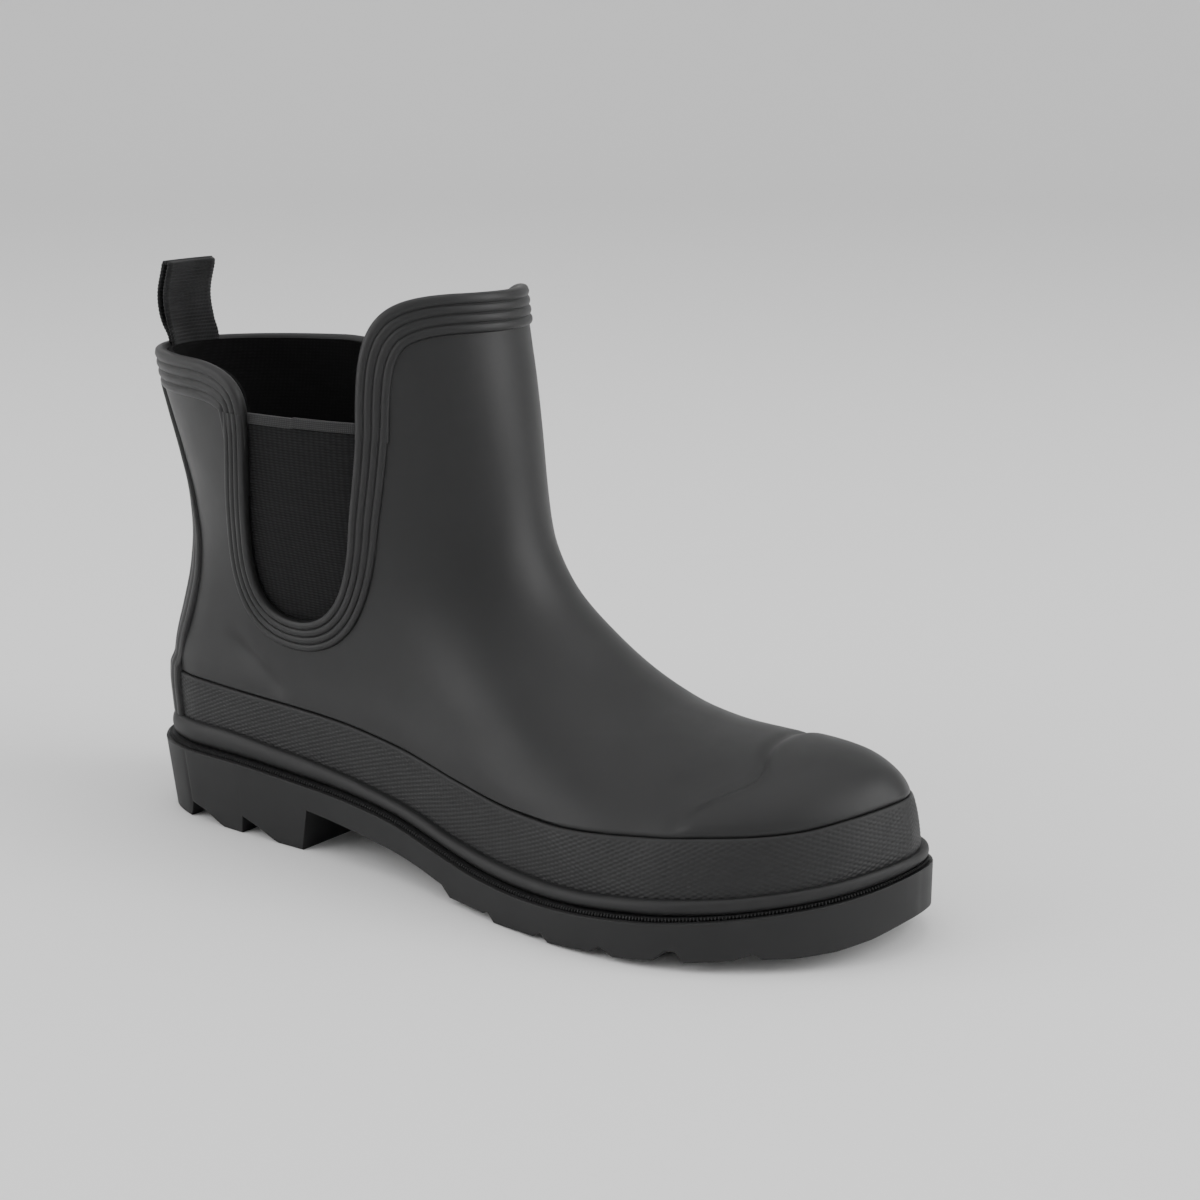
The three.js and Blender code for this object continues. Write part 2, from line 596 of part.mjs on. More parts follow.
// The sewn-in ends of the same webbing, pressed flat between the rubber and the lining.
const ANCHOR = { low: REAR_RIM_Z - 22, high: REAR_RIM_Z - 1, thick: 1.2 };
function pullLoopAnchor() {
  const half = LOOP_WIDTH / 2;
  const cut = through2D(box2D(-SIDE_REACH, ANCHOR.low, 30, ANCHOR.high), -half, half);
  const depth = UPPER_THICK + GAP;
  return layer(depth, depth + ANCHOR.thick, 0.5).intersect(cut);
}

// ---------------------------------------------------------------- assembly
const RUBBER = { color: 0x2b2b2c, roughness: 0.55, metalness: 0 };
const SOLE_RUBBER = { color: 0x262627, roughness: 0.62, metalness: 0 };
const ELASTIC = { color: 0x131314, roughness: 0.95, metalness: 0 };
const KNIT = { color: 0x0b0b0c, roughness: 1, metalness: 0 };
const WEBBING = { color: 0x18181a, roughness: 0.9, metalness: 0 };
const FOAM = { color: 0x1c1c1e, roughness: 0.95, metalness: 0 };
const STEEL = { color: 0x8c8f92, roughness: 0.35, metalness: 1 };
const BOARD = { color: 0x6b5a45, roughness: 0.9, metalness: 0 };

const boot = new THREE.Group();
boot.name = "rain_boot";
function add(name, solid, look) {
  const mesh = new THREE.Mesh(geometryOf(solid), new THREE.MeshStandardMaterial(look));
  mesh.name = name;
  boot.add(mesh);
}
add("outsole", outsole(), SOLE_RUBBER);
add("heel_core", heelCoreBlock(0, 0), FOAM);
add("shank", shankPlate(0, 0), STEEL);
add("insole_board", insoleBoard(), BOARD);
add("footbed", footbed(), FOAM);
add("welt_strip", weltStrip(), SOLE_RUBBER);
add("welt_bead", weltBead(), RUBBER);
add("foxing_band", foxingBand(), SOLE_RUBBER);
add("upper_shell", upperShell(), RUBBER);
add("back_strip", backStrip(), RUBBER);
add("toe_puff", toePuff(), BOARD);
add("heel_counter", heelCounter(), BOARD);
add("lining", lining(), KNIT);
add("rear_collar_trim", collarTrim(REAR_RIM), RUBBER);
add("front_collar_trim", collarTrim(FRONT_RIM), RUBBER);
for (const [name, side] of [["outer", 1], ["inner", -1]]) {
  add(name + "_gore_trim", goreTrim(side), RUBBER);
  add(name + "_gore", gorePanel(side), ELASTIC);
  add(name + "_gore_binding", goreBinding(side), ELASTIC);
}
add("pull_loop", pullLoop(), WEBBING);
add("pull_loop_anchor", pullLoopAnchor(), WEBBING);

const whole = new THREE.Box3().setFromObject(boot);
const middle = whole.getCenter(new THREE.Vector3());
boot.position.set(-middle.x, -middle.y, -whole.min.z);

export default boot;
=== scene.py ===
"""Looks of a right-foot rubber ankle rain boot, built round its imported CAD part.

The shapes are worked out in millimetres in the boot's own drawing frame: y = 0 at the back of the
heel, y = 285 at the toe, x outwards from the middle of the foot, z = 0 on the ground. place()
moves them into the shared frame, in metres.
"""

import math

import bpy
import numpy as np
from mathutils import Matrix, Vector


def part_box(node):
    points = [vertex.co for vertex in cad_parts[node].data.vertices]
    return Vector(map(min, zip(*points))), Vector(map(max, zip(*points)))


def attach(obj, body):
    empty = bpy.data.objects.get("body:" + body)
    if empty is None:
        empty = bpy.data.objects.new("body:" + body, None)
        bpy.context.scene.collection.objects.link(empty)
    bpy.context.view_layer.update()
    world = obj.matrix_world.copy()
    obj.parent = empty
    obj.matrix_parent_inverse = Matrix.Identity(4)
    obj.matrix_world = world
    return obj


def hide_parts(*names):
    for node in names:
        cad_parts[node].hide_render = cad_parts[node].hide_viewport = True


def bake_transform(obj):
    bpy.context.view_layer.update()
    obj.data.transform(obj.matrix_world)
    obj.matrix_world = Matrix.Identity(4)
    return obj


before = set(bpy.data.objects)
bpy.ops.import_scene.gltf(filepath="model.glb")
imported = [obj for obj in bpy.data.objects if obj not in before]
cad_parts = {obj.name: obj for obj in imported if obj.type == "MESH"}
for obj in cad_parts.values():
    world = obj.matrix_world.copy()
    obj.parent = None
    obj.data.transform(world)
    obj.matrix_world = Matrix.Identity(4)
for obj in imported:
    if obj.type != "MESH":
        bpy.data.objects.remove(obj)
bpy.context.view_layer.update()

# ---------------------------------------------------------------- dimensions, mm
SOLE_LENGTH = 285.0
SOLE_MIDDLE_X = 1.3  # middle of the sole's widest span, from the middle of the foot
UPPER_INSET = 6.5
TOE_INSET = 4.4
TOE_OFFSET = -8.0
REAR_RIM_Z = 158.0
FRONT_RIM_Z = 183.5
GORE_TOP_Z = 143.5
LINING_OUTER = 3.0  # depth of the lining below the rubber's face
LINING_INNER = 4.9
FOXING_PROUD = 1.35
COLLAR_WIDTH = 12.4
GORE_TRIM_WIDTH = 9.8
RIBS = 4
STRIP_PROUD = 1.5
LOOP_WIDTH = 22.0
LOOP_TOP_Z = 186.0
WEBBING = 1.3

OUTER_EDGE = [
    (0, 0), (1.5, 12), (6, 22), (15, 30.5), (32, 36), (58, 37.2), (90, 36.8), (120, 38.8),
    (150, 45), (180, 51.5), (205, 54.3), (225, 52.8), (245, 46), (262, 34.5), (274, 22),
    (282, 7), (SOLE_LENGTH, TOE_OFFSET),
]
INNER_EDGE = [
    (0, 0), (1.5, -12), (6, -22), (15, -30.5), (32, -35.5), (58, -35.8), (90, -33), (120, -34),
    (150, -41), (180, -48), (205, -51.7), (225, -51.7), (245, -48.4), (262, -41.2), (274, -32.4),
    (282, -21.4), (SOLE_LENGTH, TOE_OFFSET),
]
LEDGE = [
    (0, 25), (45, 25), (84, 22.6), (115, 19.6), (140, 15.4), (165, 11.8), (185, 11), (205, 11.8),
    (225, 13.4), (242, 15.3), (257, 17.4), (271, 19.8), (280, 22), (SOLE_LENGTH, 24),
]
FOXING_TOP = [
    (0, 49.5), (25, 49), (60, 47.4), (95, 45), (115, 42.7), (132, 40.2), (150, 37.6), (178, 34.6),
    (194, 33.8), (210, 34.4), (225, 35.6), (240, 37.2), (262, 39.6), (272, 42.2), (SOLE_LENGTH, 46.5),
]
FOXING_BOTTOM = [
    (0, 33.6), (40, 33.8), (72, 31.2), (95, 28.4), (115, 25.4), (132, 22.6), (151, 19.2),
    (170, 17.4), (188, 16.8), (204, 17.2), (224, 19), (241, 20.9), (255, 22.6), (270, 25),
    (SOLE_LENGTH, 28.6),
]
FRONT_PROFILE = [
    (280.6, 10), (280.6, 32), (278.7, 43.3), (271.4, 52.2), (258, 56.2), (241, 57), (222, 57.8),
    (203, 60.8), (186.5, 68.8), (172.5, 80), (160.5, 92), (152.5, 107), (149.5, 122.5),
    (147.7, 138), (145.7, 153), (143.2, 167), (141, 180), (139.5, 192),
]
BACK_PROFILE = [
    (10, 6.5), (24, 6.3), (38, 4.9), (46, 4.2), (58, 5.2), (72, 8), (86, 10.6), (98, 11.7),
    (110, 10.9), (124, 7.9), (138, 3.4), (150, -0.4), (162, -2.6), (176, -4.6),
]
SHAFT_HALF_WIDTH = [
    (30, 36), (80, 36.5), (95, 37), (110, 38), (130, 40), (150, 41.5), (165, 42), (190, 42),
]
TREAD = [
    (-5, 6), (0, 5.5), (1.5, 2.2), (5, 0.4), (8, 0), (27, 0), (28, 5.8), (35, 4), (42, 0.6),
    (44, 0), (53, 0), (54, 6), (61, 3.6), (68, 0.5), (70, 0), (81, 0), (84, 14.2), (100, 12.2),
    (121, 9.6), (136, 7.2), (147, 5), (151, 1.8), (167, 1.6), (169, 2.6), (172, 0), (189, 0.6),
    (192, 2.4), (195, 0.2), (211, 1.4), (214, 3.4), (218.5, 1.2), (231, 2.6), (234.5, 5.8),
    (237.5, 5.9), (239.5, 2.8), (252, 4.2), (257, 6.4), (259, 4.6), (266, 4.6), (274, 5.6),
    (280, 7.4), (284, 9.8), (290, 12.5),
]


# ---------------------------------------------------------------- curves
def ease(t):
    c = np.clip(t, 0, 1)
    return c * c * (3 - 2 * c)


def mix(a, b, t):
    return a + (b - a) * t


def through(points):
    """Smooth curve through (x, y) points that never overshoots them."""
    xs, ys = np.array(points, float).T
    h = np.diff(xs)
    slope = np.diff(ys) / h
    m = np.zeros(len(xs))
    m[0], m[-1] = slope[0], slope[-1]
    for i in range(1, len(xs) - 1):
        if slope[i - 1] * slope[i] > 0:
            a = 2 * h[i] + h[i - 1]
            b = h[i] + 2 * h[i - 1]
            m[i] = (a + b) / (a / slope[i - 1] + b / slope[i])

    def curve(x):
        x = np.asarray(x, float)
        i = np.clip(np.searchsorted(xs, x, side="right") - 1, 0, len(xs) - 2)
        t = np.clip((x - xs[i]) / h[i], 0, 1)
        rise = ys[i] * (2 * t**3 - 3 * t**2 + 1) + ys[i + 1] * (3 * t**2 - 2 * t**3)
        bend = m[i] * (t**3 - 2 * t**2 + t) + m[i + 1] * (t**3 - t**2)
        return rise + h[i] * bend

    return curve


def distance_along(points):
    """Distance travelled along a line, at each of its points."""
    return np.concatenate([[0], np.cumsum(np.linalg.norm(np.diff(points, axis=0), axis=1))])


def angle_of(y, y0, y1):
    return np.arccos(1 - 2 * np.clip((y - y0) / (y1 - y0), 0, 1))


def edge_curve(points):
    f = through([(float(angle_of(y, 0, SOLE_LENGTH)), x) for y, x in points])
    return lambda a: np.stack([f(a), SOLE_LENGTH * (1 - np.cos(a)) / 2], -1)


outer_edge = edge_curve(OUTER_EDGE)
inner_edge = edge_curve(INNER_EDGE)
ledge = through(LEDGE)
foxing_top = through(FOXING_TOP)
foxing_bottom = through(FOXING_BOTTOM)
back_y = through(BACK_PROFILE)
shaft_half_width = through(SHAFT_HALF_WIDTH)
strip_half = through([(30, 33), (44, 33), (60, 32), (82, 31), (100, 29), (120, 25.5), (150, 21)])


def unit(v):
    return v / np.maximum(np.linalg.norm(v, axis=-1, keepdims=True), 1e-9)


def sole_side(angles, inset, outer):
    """The sole's outline on one side, moved in by inset, which is a length or a function of y."""
    edge, other, sign = (outer_edge, inner_edge, 1) if outer else (inner_edge, outer_edge, -1)
    d = 1e-3

    def on_line(a):
        past = a > math.pi
        before = a < 0
        mirrored = np.where(past, 2 * math.pi - a, -a)
        return np.where((past | before)[:, None], other(np.abs(mirrored)), edge(np.abs(a)))

    tangent = unit(on_line(angles + d) - on_line(angles - d))
    normal = np.stack([tangent[:, 1], -tangent[:, 0]], -1) * sign
    p = edge(angles)
    depth = inset(p[:, 1]) if callable(inset) else np.full(len(p), float(inset))
    return p - normal * depth[:, None]


def sole_loop(angles, inset):
    """One closed line round the sole: out along the outer side and back along the inner one."""
    outer = sole_side(angles, inset, True)
    inner = sole_side(angles, inset, False)[1:-1][::-1]
    return np.concatenate([outer, inner])


UPPER_BACK = UPPER_INSET
UPPER_FRONT = SOLE_LENGTH - TOE_INSET
FINE = np.linspace(0, math.pi, 241)


def toeward(y):
    return ease((y - 215) / 50)


def upper_inset(y):
    return mix(UPPER_INSET, TOE_INSET, toeward(y))


def centre_x(y):
    return TOE_OFFSET * ease((y - 110) / (UPPER_FRONT - 110))


def half_width_curve(outer):
    p = sole_side(FINE, upper_inset, outer)
    sign = 1 if outer else -1
    a = angle_of(p[:, 1], UPPER_BACK, UPPER_FRONT)
    x = np.maximum(0, sign * (p[:, 0] - centre_x(p[:, 1])))
    keep = np.concatenate([[True], np.diff(a) > 1e-6])
    a, x = a[keep], x[keep]
    x[0] = x[-1] = 0
    f = through(np.stack([a, x], -1))
    return lambda y: f(angle_of(y, UPPER_BACK, UPPER_FRONT))


outer_half_width = half_width_curve(True)
inner_half_width = half_width_curve(False)

front_points = np.array(FRONT_PROFILE, float)
front_knots = distance_along(front_points)
front_curve_y = through(np.stack([front_knots, front_points[:, 0]], -1))
front_curve_z = through(np.stack([front_knots, front_points[:, 1]], -1))
FRONT_S = np.linspace(0, front_knots[-1], 1921)
FRONT_SY = front_curve_y(FRONT_S)
FRONT_SZ = front_curve_z(FRONT_S)


def front_y(z):
    return np.interp(z, FRONT_SZ, FRONT_SY)


def top_z(y):
    """Height of the roof of the foot over y."""
    return np.interp(np.minimum(y, UPPER_FRONT - 0.001), FRONT_SY[::-1], FRONT_SZ[::-1])


PITCH = 2.0  # spacing of the table of distances from the front profile
TABLE_Y = np.arange(-40, 320, PITCH)
TABLE_Z = np.arange(-10, 220, PITCH)


def distance_table():
    """Signed distance in the side view from the front profile, positive inside the boot."""
    line_y, line_z = FRONT_SY[::3], FRONT_SZ[::3]
    y, z = np.meshgrid(TABLE_Y, TABLE_Z, indexing="ij")
    best = np.full(y.shape, 1e9)
    for y0, z0, y1, z1 in zip(line_y[:-1], line_z[:-1], line_y[1:], line_z[1:]):
        dy, dz = y1 - y0, z1 - z0
        t = np.clip(((y - y0) * dy + (z - z0) * dz) / (dy * dy + dz * dz), 0, 1)
        best = np.minimum(best, np.hypot(y - y0 - t * dy, z - z0 - t * dz))
    return np.where(y < front_y(z), best, -best)


DISTANCES = distance_table()


def profile_distance(y, z):
    """The table read with a smooth cubic between its points."""
    a = np.clip((y - TABLE_Y[0]) / PITCH, 1, len(TABLE_Y) - 3)
    b = np.clip((z - TABLE_Z[0]) / PITCH, 1, len(TABLE_Z) - 3)
    i, j = a.astype(int), b.astype(int)
    weights_a, weights_b = cubic_weights(a - i), cubic_weights(b - j)
    total = 0
    for k, wa in enumerate(weights_a):
        for m, wb in enumerate(weights_b):
            total = total + wa * wb * DISTANCES[i + k - 1, j + m - 1]
    return total


def cubic_weights(t):
    first = 0.5 * (-t + 2 * t**2 - t**3)
    second = 0.5 * (2 - 5 * t**2 + 3 * t**3)
    third = 0.5 * (t + 4 * t**2 - 3 * t**3)
    return first, second, third, 0.5 * (t**3 - t**2)


SHAFT_FROM_Z, SHAFT_TO_Z = 52, 118  # the foot's shape turns into the shaft's between these
DOME_REACH = 42  # distance inside the profile over which the roof of the foot rounds off
DOME_POWER = 2.3
LEAN = 0.1  # how much narrower the wall of the foot is higher up
THIN = 1e-3  # smallest distance that is divided by


def surface_x(y, z, side):
    """Sideways position of the rubber's outer face, signed by side."""
    back, front = back_y(z), front_y(z)
    followed = y - (back - UPPER_BACK) * (1 - ease((y - back) / 150))
    above = np.maximum(THIN, top_z(y) - z)
    ahead = np.maximum(THIN, front - y)
    corner = 1 / np.sqrt(1 / above**2 + ease((z - 45) / 25) / ahead**2)
    behind = np.maximum(THIN, profile_distance(y, z))
    near = mix(behind, corner, ease((y - 175) / 40))
    reach = DOME_REACH + 20 * ease((z - 60) / 50) - 5 * toeward(y)
    dome = np.sqrt(np.maximum(0, 1 - (1 - np.minimum(1, near / reach)) ** DOME_POWER))
    lean = 1 - LEAN * ease((z - 40) / 60)
    half = np.where(side > 0, outer_half_width(followed), inner_half_width(followed))
    across = (y - (back + front) / 2) / ((front - back) / 2)
    shaft = shaft_half_width(z) * np.sqrt(np.maximum(0, 1 - across**2))
    m = ease((z - SHAFT_FROM_Z) / (SHAFT_TO_Z - SHAFT_FROM_Z))
    return (1 - m) * (centre_x(y) + side * half * dome * lean) + m * side * shaft


# ---------------------------------------------------------------- two ways round the upper
BOTTOM_BACK = float(ledge(UPPER_BACK)) + 0.3
BOTTOM_FRONT = float(ledge(UPPER_FRONT)) + 0.3
START_S = FRONT_S[np.argmax(FRONT_SZ >= BOTTOM_FRONT)]
END_S = FRONT_S[np.argmax(FRONT_SZ >= FRONT_RIM_Z + 7)]


def side_view(u, v):
    """(y, z) of the point at u round the boot from its back and v up from the sole to the rim."""
    along = (1 - np.cos(u)) / 2
    s = mix(START_S, END_S, v)
    back_z = mix(BOTTOM_BACK, REAR_RIM_Z + 12, v)
    y = mix(back_y(back_z), front_curve_y(s), along)
    line = mix(BOTTOM_BACK, BOTTOM_FRONT, along)
    bend = (ledge(mix(UPPER_BACK, UPPER_FRONT, along)) + 0.3 - line) * (1 - ease(v / 0.45))
    return y, mix(back_z, front_curve_z(s), along) + bend


def on_face(u, v):
    y, z = side_view(u, v)
    return np.stack([surface_x(y, z, np.where(np.sin(u) >= 0, 1, -1)), y, z], -1)


def at_depth(u, v, depth):
    """The point that lies depth below the rubber's outer face; a negative depth is above it."""
    d = 4e-3
    du = on_face(u + d, v) - on_face(u - d, v)
    dv = on_face(u, np.minimum(1, v + d)) - on_face(u, np.maximum(0, v - d))
    normal = unit(np.cross(dv, du))
    return on_face(u, v) + normal * np.asarray(depth)[..., None]


def on_slice(phi, z):
    """The point at angle phi round the horizontal slice at height z; phi is signed by side."""
    y = mix(back_y(z), front_y(z), (1 - np.cos(phi)) / 2)
    return np.stack([surface_x(y, z, np.where(np.sin(phi) >= 0, 1, -1)), y, z], -1)


def skin(phi, z, depth):
    d = 5e-3
    dp = on_slice(phi + d, z) - on_slice(phi - d, z)
    dz = on_slice(phi, z + 0.25) - on_slice(phi, z - 0.25)
    normal = unit(np.cross(dz, dp))
    return on_slice(phi, z) + normal * np.asarray(depth)[..., None]


def phi_of(y, z):
    return angle_of(y, back_y(z), front_y(z))


# ---------------------------------------------------------------- meshes
cad_low, cad_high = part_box("outsole")
SHIFT = np.array([(cad_low.x + cad_high.x) * 500 - SOLE_MIDDLE_X, cad_low.y * 1000, 0.0])


def place(points):
    return (np.asarray(points, float) + SHIFT) / 1000


def mesh_object(name, points, faces, material, slot, body="boot", sharp=40):
    """A piece from points in the drawing frame: it rides on body and stands in for no node yet."""
    data = bpy.data.meshes.new(name)
    data.from_pydata(place(points).tolist(), [], faces)
    data.validate()
    obj = bpy.data.objects.new(name, data)
    bpy.context.scene.collection.objects.link(obj)
    data.materials.append(material)
    data.shade_smooth()
    data.set_sharp_from_angle(angle=math.radians(sharp))
    if body:
        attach(obj, body)
    return obj


def quads(rows, columns, wrap_rows):
    """Faces of a grid that wraps round by column, and by row where asked."""
    i = np.arange(rows if wrap_rows else rows - 1)[:, None]
    j = np.arange(columns)[None, :]
    a = i * columns + j
    b = i * columns + (j + 1) % columns
    c = ((i + 1) % rows) * columns + (j + 1) % columns
    d = ((i + 1) % rows) * columns + j
    return np.stack([a, b, c, d], -1).reshape(-1, 4).tolist()


def swept(name, sections, material, slot, **options):
    """A tube over sections[i, k] with a cap on each end."""
    rows, columns = sections.shape[:2]
    faces = quads(rows, columns, False)
    faces.append(list(range(columns)))
    faces.append(list(range((rows - 1) * columns, rows * columns))[::-1])
    points = sections.reshape(-1, 3)
    if volume(points, faces) < 0:
        faces = [f[::-1] for f in faces]
    return mesh_object(name, points, faces, material, slot, **options)


def closed_ring(name, loops, material, slot, sharp=40):
    """A ring over matching closed loops, loops[k, i]; the last loop joins the first."""
    points = loops.reshape(-1, 3)
    faces = quads(loops.shape[0], loops.shape[1], True)
    if volume(points, faces) < 0:
        faces = [f[::-1] for f in faces]
    return mesh_object(name, points, faces, material, slot, sharp=sharp)


def volume(points, faces):
    four = np.array([f for f in faces if len(f) == 4])
    a, b, c, d = (points[four[:, k]] for k in range(4))
    one = np.einsum("ij,ij->i", a, np.cross(b, c)).sum()
    return one + np.einsum("ij,ij->i", a, np.cross(c, d)).sum()


def walled(name, outside, inside, keep, material, slot, **options):
    """A wall between two matching grids that wrap round by column, on the quads that are kept."""
    rows, columns = outside.shape[:2]
    points = np.concatenate([outside.reshape(-1, 3), inside.reshape(-1, 3)])
    index = np.arange(rows * columns).reshape(rows, columns)
    turned = np.roll(index, -1, axis=1)
    cell = np.stack([index[:-1], turned[:-1], turned[1:], index[1:]], -1)
    faces = cell[keep]
    made = [faces[:, ::-1], faces + rows * columns]
    edges = np.concatenate([faces[:, [0, 1]], faces[:, [1, 2]], faces[:, [2, 3]], faces[:, [3, 0]]])
    key = edges[:, 0] * rows * columns + edges[:, 1]
    back = edges[:, 1] * rows * columns + edges[:, 0]
    rim = edges[~np.isin(key, back)]
    a, b = rim[:, 0], rim[:, 1]
    made.append(np.stack([a, b, b + rows * columns, a + rows * columns], -1))
    faces = np.concatenate(made)
    if volume(points, faces.tolist()) < 0:
        faces = faces[:, ::-1]
    used = np.unique(faces)
    renamed = np.zeros(len(points), int)
    renamed[used] = np.arange(len(used))
    return mesh_object(name, points[used], renamed[faces].tolist(), material, slot, **options)


# ---------------------------------------------------------------- rim and gore outline
def bezier(p0, p1, p2, p3, count=60):
    t = np.linspace(0, 1, count)[:, None]
    p0, p1, p2, p3 = (np.array(p, float) for p in (p0, p1, p2, p3))
    return p0 * (1 - t) ** 3 + 3 * p1 * t * (1 - t) ** 2 + 3 * p2 * t**2 * (1 - t) + p3 * t**3


def line(a, b, count=60):
    return mix(np.array(a, float), np.array(b, float), np.linspace(0, 1, count)[:, None])


def chain(*parts):
    return np.concatenate([parts[0], *[p[1:] for p in parts[1:]]])


REAR_EDGE = chain(
    line((-6, REAR_RIM_Z), (40, REAR_RIM_Z + 0.6), 160),
    bezier((40, REAR_RIM_Z + 0.6), (56, REAR_RIM_Z + 0.4), (65.2, 154), (65.4, GORE_TOP_Z)),
)
GORE_EDGE = chain(
    bezier((65.4, GORE_TOP_Z), (64.9, 130), (61.2, 112), (59.1, 100)),
    bezier((59.1, 100), (56.4, 84), (63.4, 75.8), (77, 75.8)),
    bezier((77, 75.8), (91, 75.8), (101, 88), (104.5, 108)),
    bezier((104.5, 108), (106.5, 120), (109, 132), (109.3, GORE_TOP_Z)),
)
FRONT_EDGE = chain(
    bezier((109.3, GORE_TOP_Z), (109.6, 170), (111, 182), (134, FRONT_RIM_Z), 90),
    line((134, FRONT_RIM_Z), (175, FRONT_RIM_Z + 1.2), 160),
)
OVER_THE_RIM = [(175, 240), (-40, 240), (-40, REAR_RIM_Z)]  # closes an outline high up


def edge_normal(path):
    t = unit(np.gradient(path, axis=0))
    return np.stack([t[:, 1], -t[:, 0]], -1)


def inside_outline(y, z, outline):
    """Whether each point of the side view lies inside a closed outline."""
    inside = np.zeros(np.shape(y), bool)
    for (y0, z0), (y1, z1) in zip(outline, np.roll(outline, -1, axis=0)):
        if z0 == z1:
            continue
        crosses = (z0 > z) != (z1 > z)
        inside ^= crosses & (y < (y1 - y0) * (z - z0) / (z1 - z0) + y0)
    return inside


def stood(path, samples):
    """Side-view path and its normals, spaced evenly along the boot's real surface."""
    phi = phi_of(path[:, 0], path[:, 1])
    p = on_slice(phi, path[:, 1])
    run = distance_along(p)
    t = np.linspace(0, run[-1], samples)
    normal = edge_normal(path)
    keep = np.concatenate([[True], np.diff(run) > 1e-7])
    even = lambda values: np.stack([np.interp(t, run[keep], c[keep]) for c in values.T], -1)
    return even(path), unit(even(normal))


def on_band(path, normal, w, depth, side, hold):
    """Points of a trim: w across it from the edge, depth below the surface.
    hold keeps the ends that meet at the front or back of the boot on its middle line."""
    y = path[:, 0][:, None] + normal[:, 0][:, None] * w
    z = path[:, 1][:, None] + normal[:, 1][:, None] * w
    if hold:
        z0 = path[:, 1][:, None]
        q = np.clip((path[:, 0][:, None] - back_y(z0)) / (front_y(z0) - back_y(z0)), 0, 1)
        y = y + (back_y(z) - back_y(z0)) * (1 - q) ** 2 + (front_y(z) - front_y(z0)) * q**2
    return skin(phi_of(y, z) * side, z, depth)


def rib_section(width, nose, lift, inner):
    """(w, depth) round a trim's section: inner face, rolled edge, ribs, and back underneath."""
    pitch = width / RIBS
    fine = np.array([0.02, 0.08, 0.2, 0.36, 0.5, 0.64, 0.8, 0.92, 0.98])
    points = [(4.2, inner), (2.4, inner)]
    centre = (nose * 0.7, (inner - 1.05) / 2)
    half = (inner + 1.05) / 2
    for a in np.linspace(-80, 60, 11):
        r = math.radians(a)
        points.append((centre[0] - nose * math.cos(r), centre[1] - half * math.sin(r)))
    for k in range(RIBS):
        for t in fine:
            if k == 0 and t < 0.5:
                continue
            crest = 0.95 * (1 - abs(2 * t - 1) ** 2.2) ** 0.5
            points.append((pitch * (k + t), -lift - 0.18 - crest))
    points += [(width + 0.1, 0.1), (width, 0.6), (4.4, 0.6)]
    return np.array(points)


# ---------------------------------------------------------------- materials
def new_material(name, color, roughness, specular=0.5):
    m = bpy.data.materials.new(name)
    m.use_nodes = True
    b = m.node_tree.nodes["Principled BSDF"]
    b.inputs["Base Color"].default_value = (*color, 1)
    b.inputs["Roughness"].default_value = roughness
    b.inputs["Specular IOR Level"].default_value = specular
    return m, m.node_tree, b


def node(tree, kind, **values):
    n = tree.nodes.new(kind)
    for key, value in values.items():
        if key in n.inputs:
            n.inputs[key].default_value = value
        else:
            setattr(n, key, value)
    return n


def coordinates(tree, scale):
    origin = node(tree, "ShaderNodeTexCoord")
    turn = node(tree, "ShaderNodeMapping")
    turn.inputs["Scale"].default_value = scale
    tree.links.new(origin.outputs["Object"], turn.inputs["Vector"])
    return turn.outputs["Vector"]


def noise(tree, vector, scale, detail=3.0, roughness=0.5):
    n = node(tree, "ShaderNodeTexNoise", Scale=scale, Detail=detail, Roughness=roughness)
    tree.links.new(vector, n.inputs["Vector"])
    return n.outputs["Fac"]


def tint(tree, b, fac, low, high, color, shades):
    """Base colour between two shades of color, as fac goes from low to high."""
    r = node(tree, "ShaderNodeValToRGB")
    r.color_ramp.elements[0].position = low
    r.color_ramp.elements[1].position = high
    for element, by in zip(r.color_ramp.elements, shades):
        element.color = (*(min(1.0, c * by) for c in color), 1)
    tree.links.new(fac, r.inputs["Fac"])
    tree.links.new(r.outputs["Color"], b.inputs["Base Color"])


def roughen(tree, b, fac, low, high):
    """Roughness between low and high, as fac goes from 0 to 1."""
    r = node(tree, "ShaderNodeMapRange")
    r.inputs["To Min"].default_value = low
    r.inputs["To Max"].default_value = high
    tree.links.new(fac, r.inputs["Value"])
    tree.links.new(r.outputs["Result"], b.inputs["Roughness"])


def bump(tree, height, strength, distance, before=None):
    b = node(tree, "ShaderNodeBump", Strength=strength, Distance=distance)
    tree.links.new(height, b.inputs["Height"])
    if before is not None:
        tree.links.new(before, b.inputs["Normal"])
    return b.outputs["Normal"]


def rubber(name, color, roughness, grain=0.16, specular=0.36):
    m, tree, b = new_material(name, color, roughness, specular)
    at = coordinates(tree, (1, 1, 1))
    wide = noise(tree, at, 14.0, 2.0)
    fine = noise(tree, at, 2600.0, 2.0)
    cloud = noise(tree, at, 90.0, 4.0)
    tint(tree, b, wide, 0.3, 0.7, color, (0.9, 1.12))
    roughen(tree, b, cloud, roughness - 0.05, roughness + 0.06)
    soft = bump(tree, cloud, 0.05, 0.0006)
    tree.links.new(bump(tree, fine, grain, 0.00006, soft), b.inputs["Normal"])
    return m


def bands(tree, at, direction, scale, distortion):
    n = node(tree, "ShaderNodeTexWave", Scale=scale, Distortion=distortion)
    n.wave_type = "BANDS"
    n.bands_direction = direction
    n.wave_profile = "SIN"
    n.inputs["Detail"].default_value = 1.0
    n.inputs["Detail Scale"].default_value = 2.0
    tree.links.new(at, n.inputs["Vector"])
    return n.outputs["Fac"]


def product(tree, first, second):
    n = node(tree, "ShaderNodeMath", operation="MULTIPLY")
    tree.links.new(first, n.inputs[0])
    tree.links.new(second, n.inputs[1])
    return n.outputs["Value"]


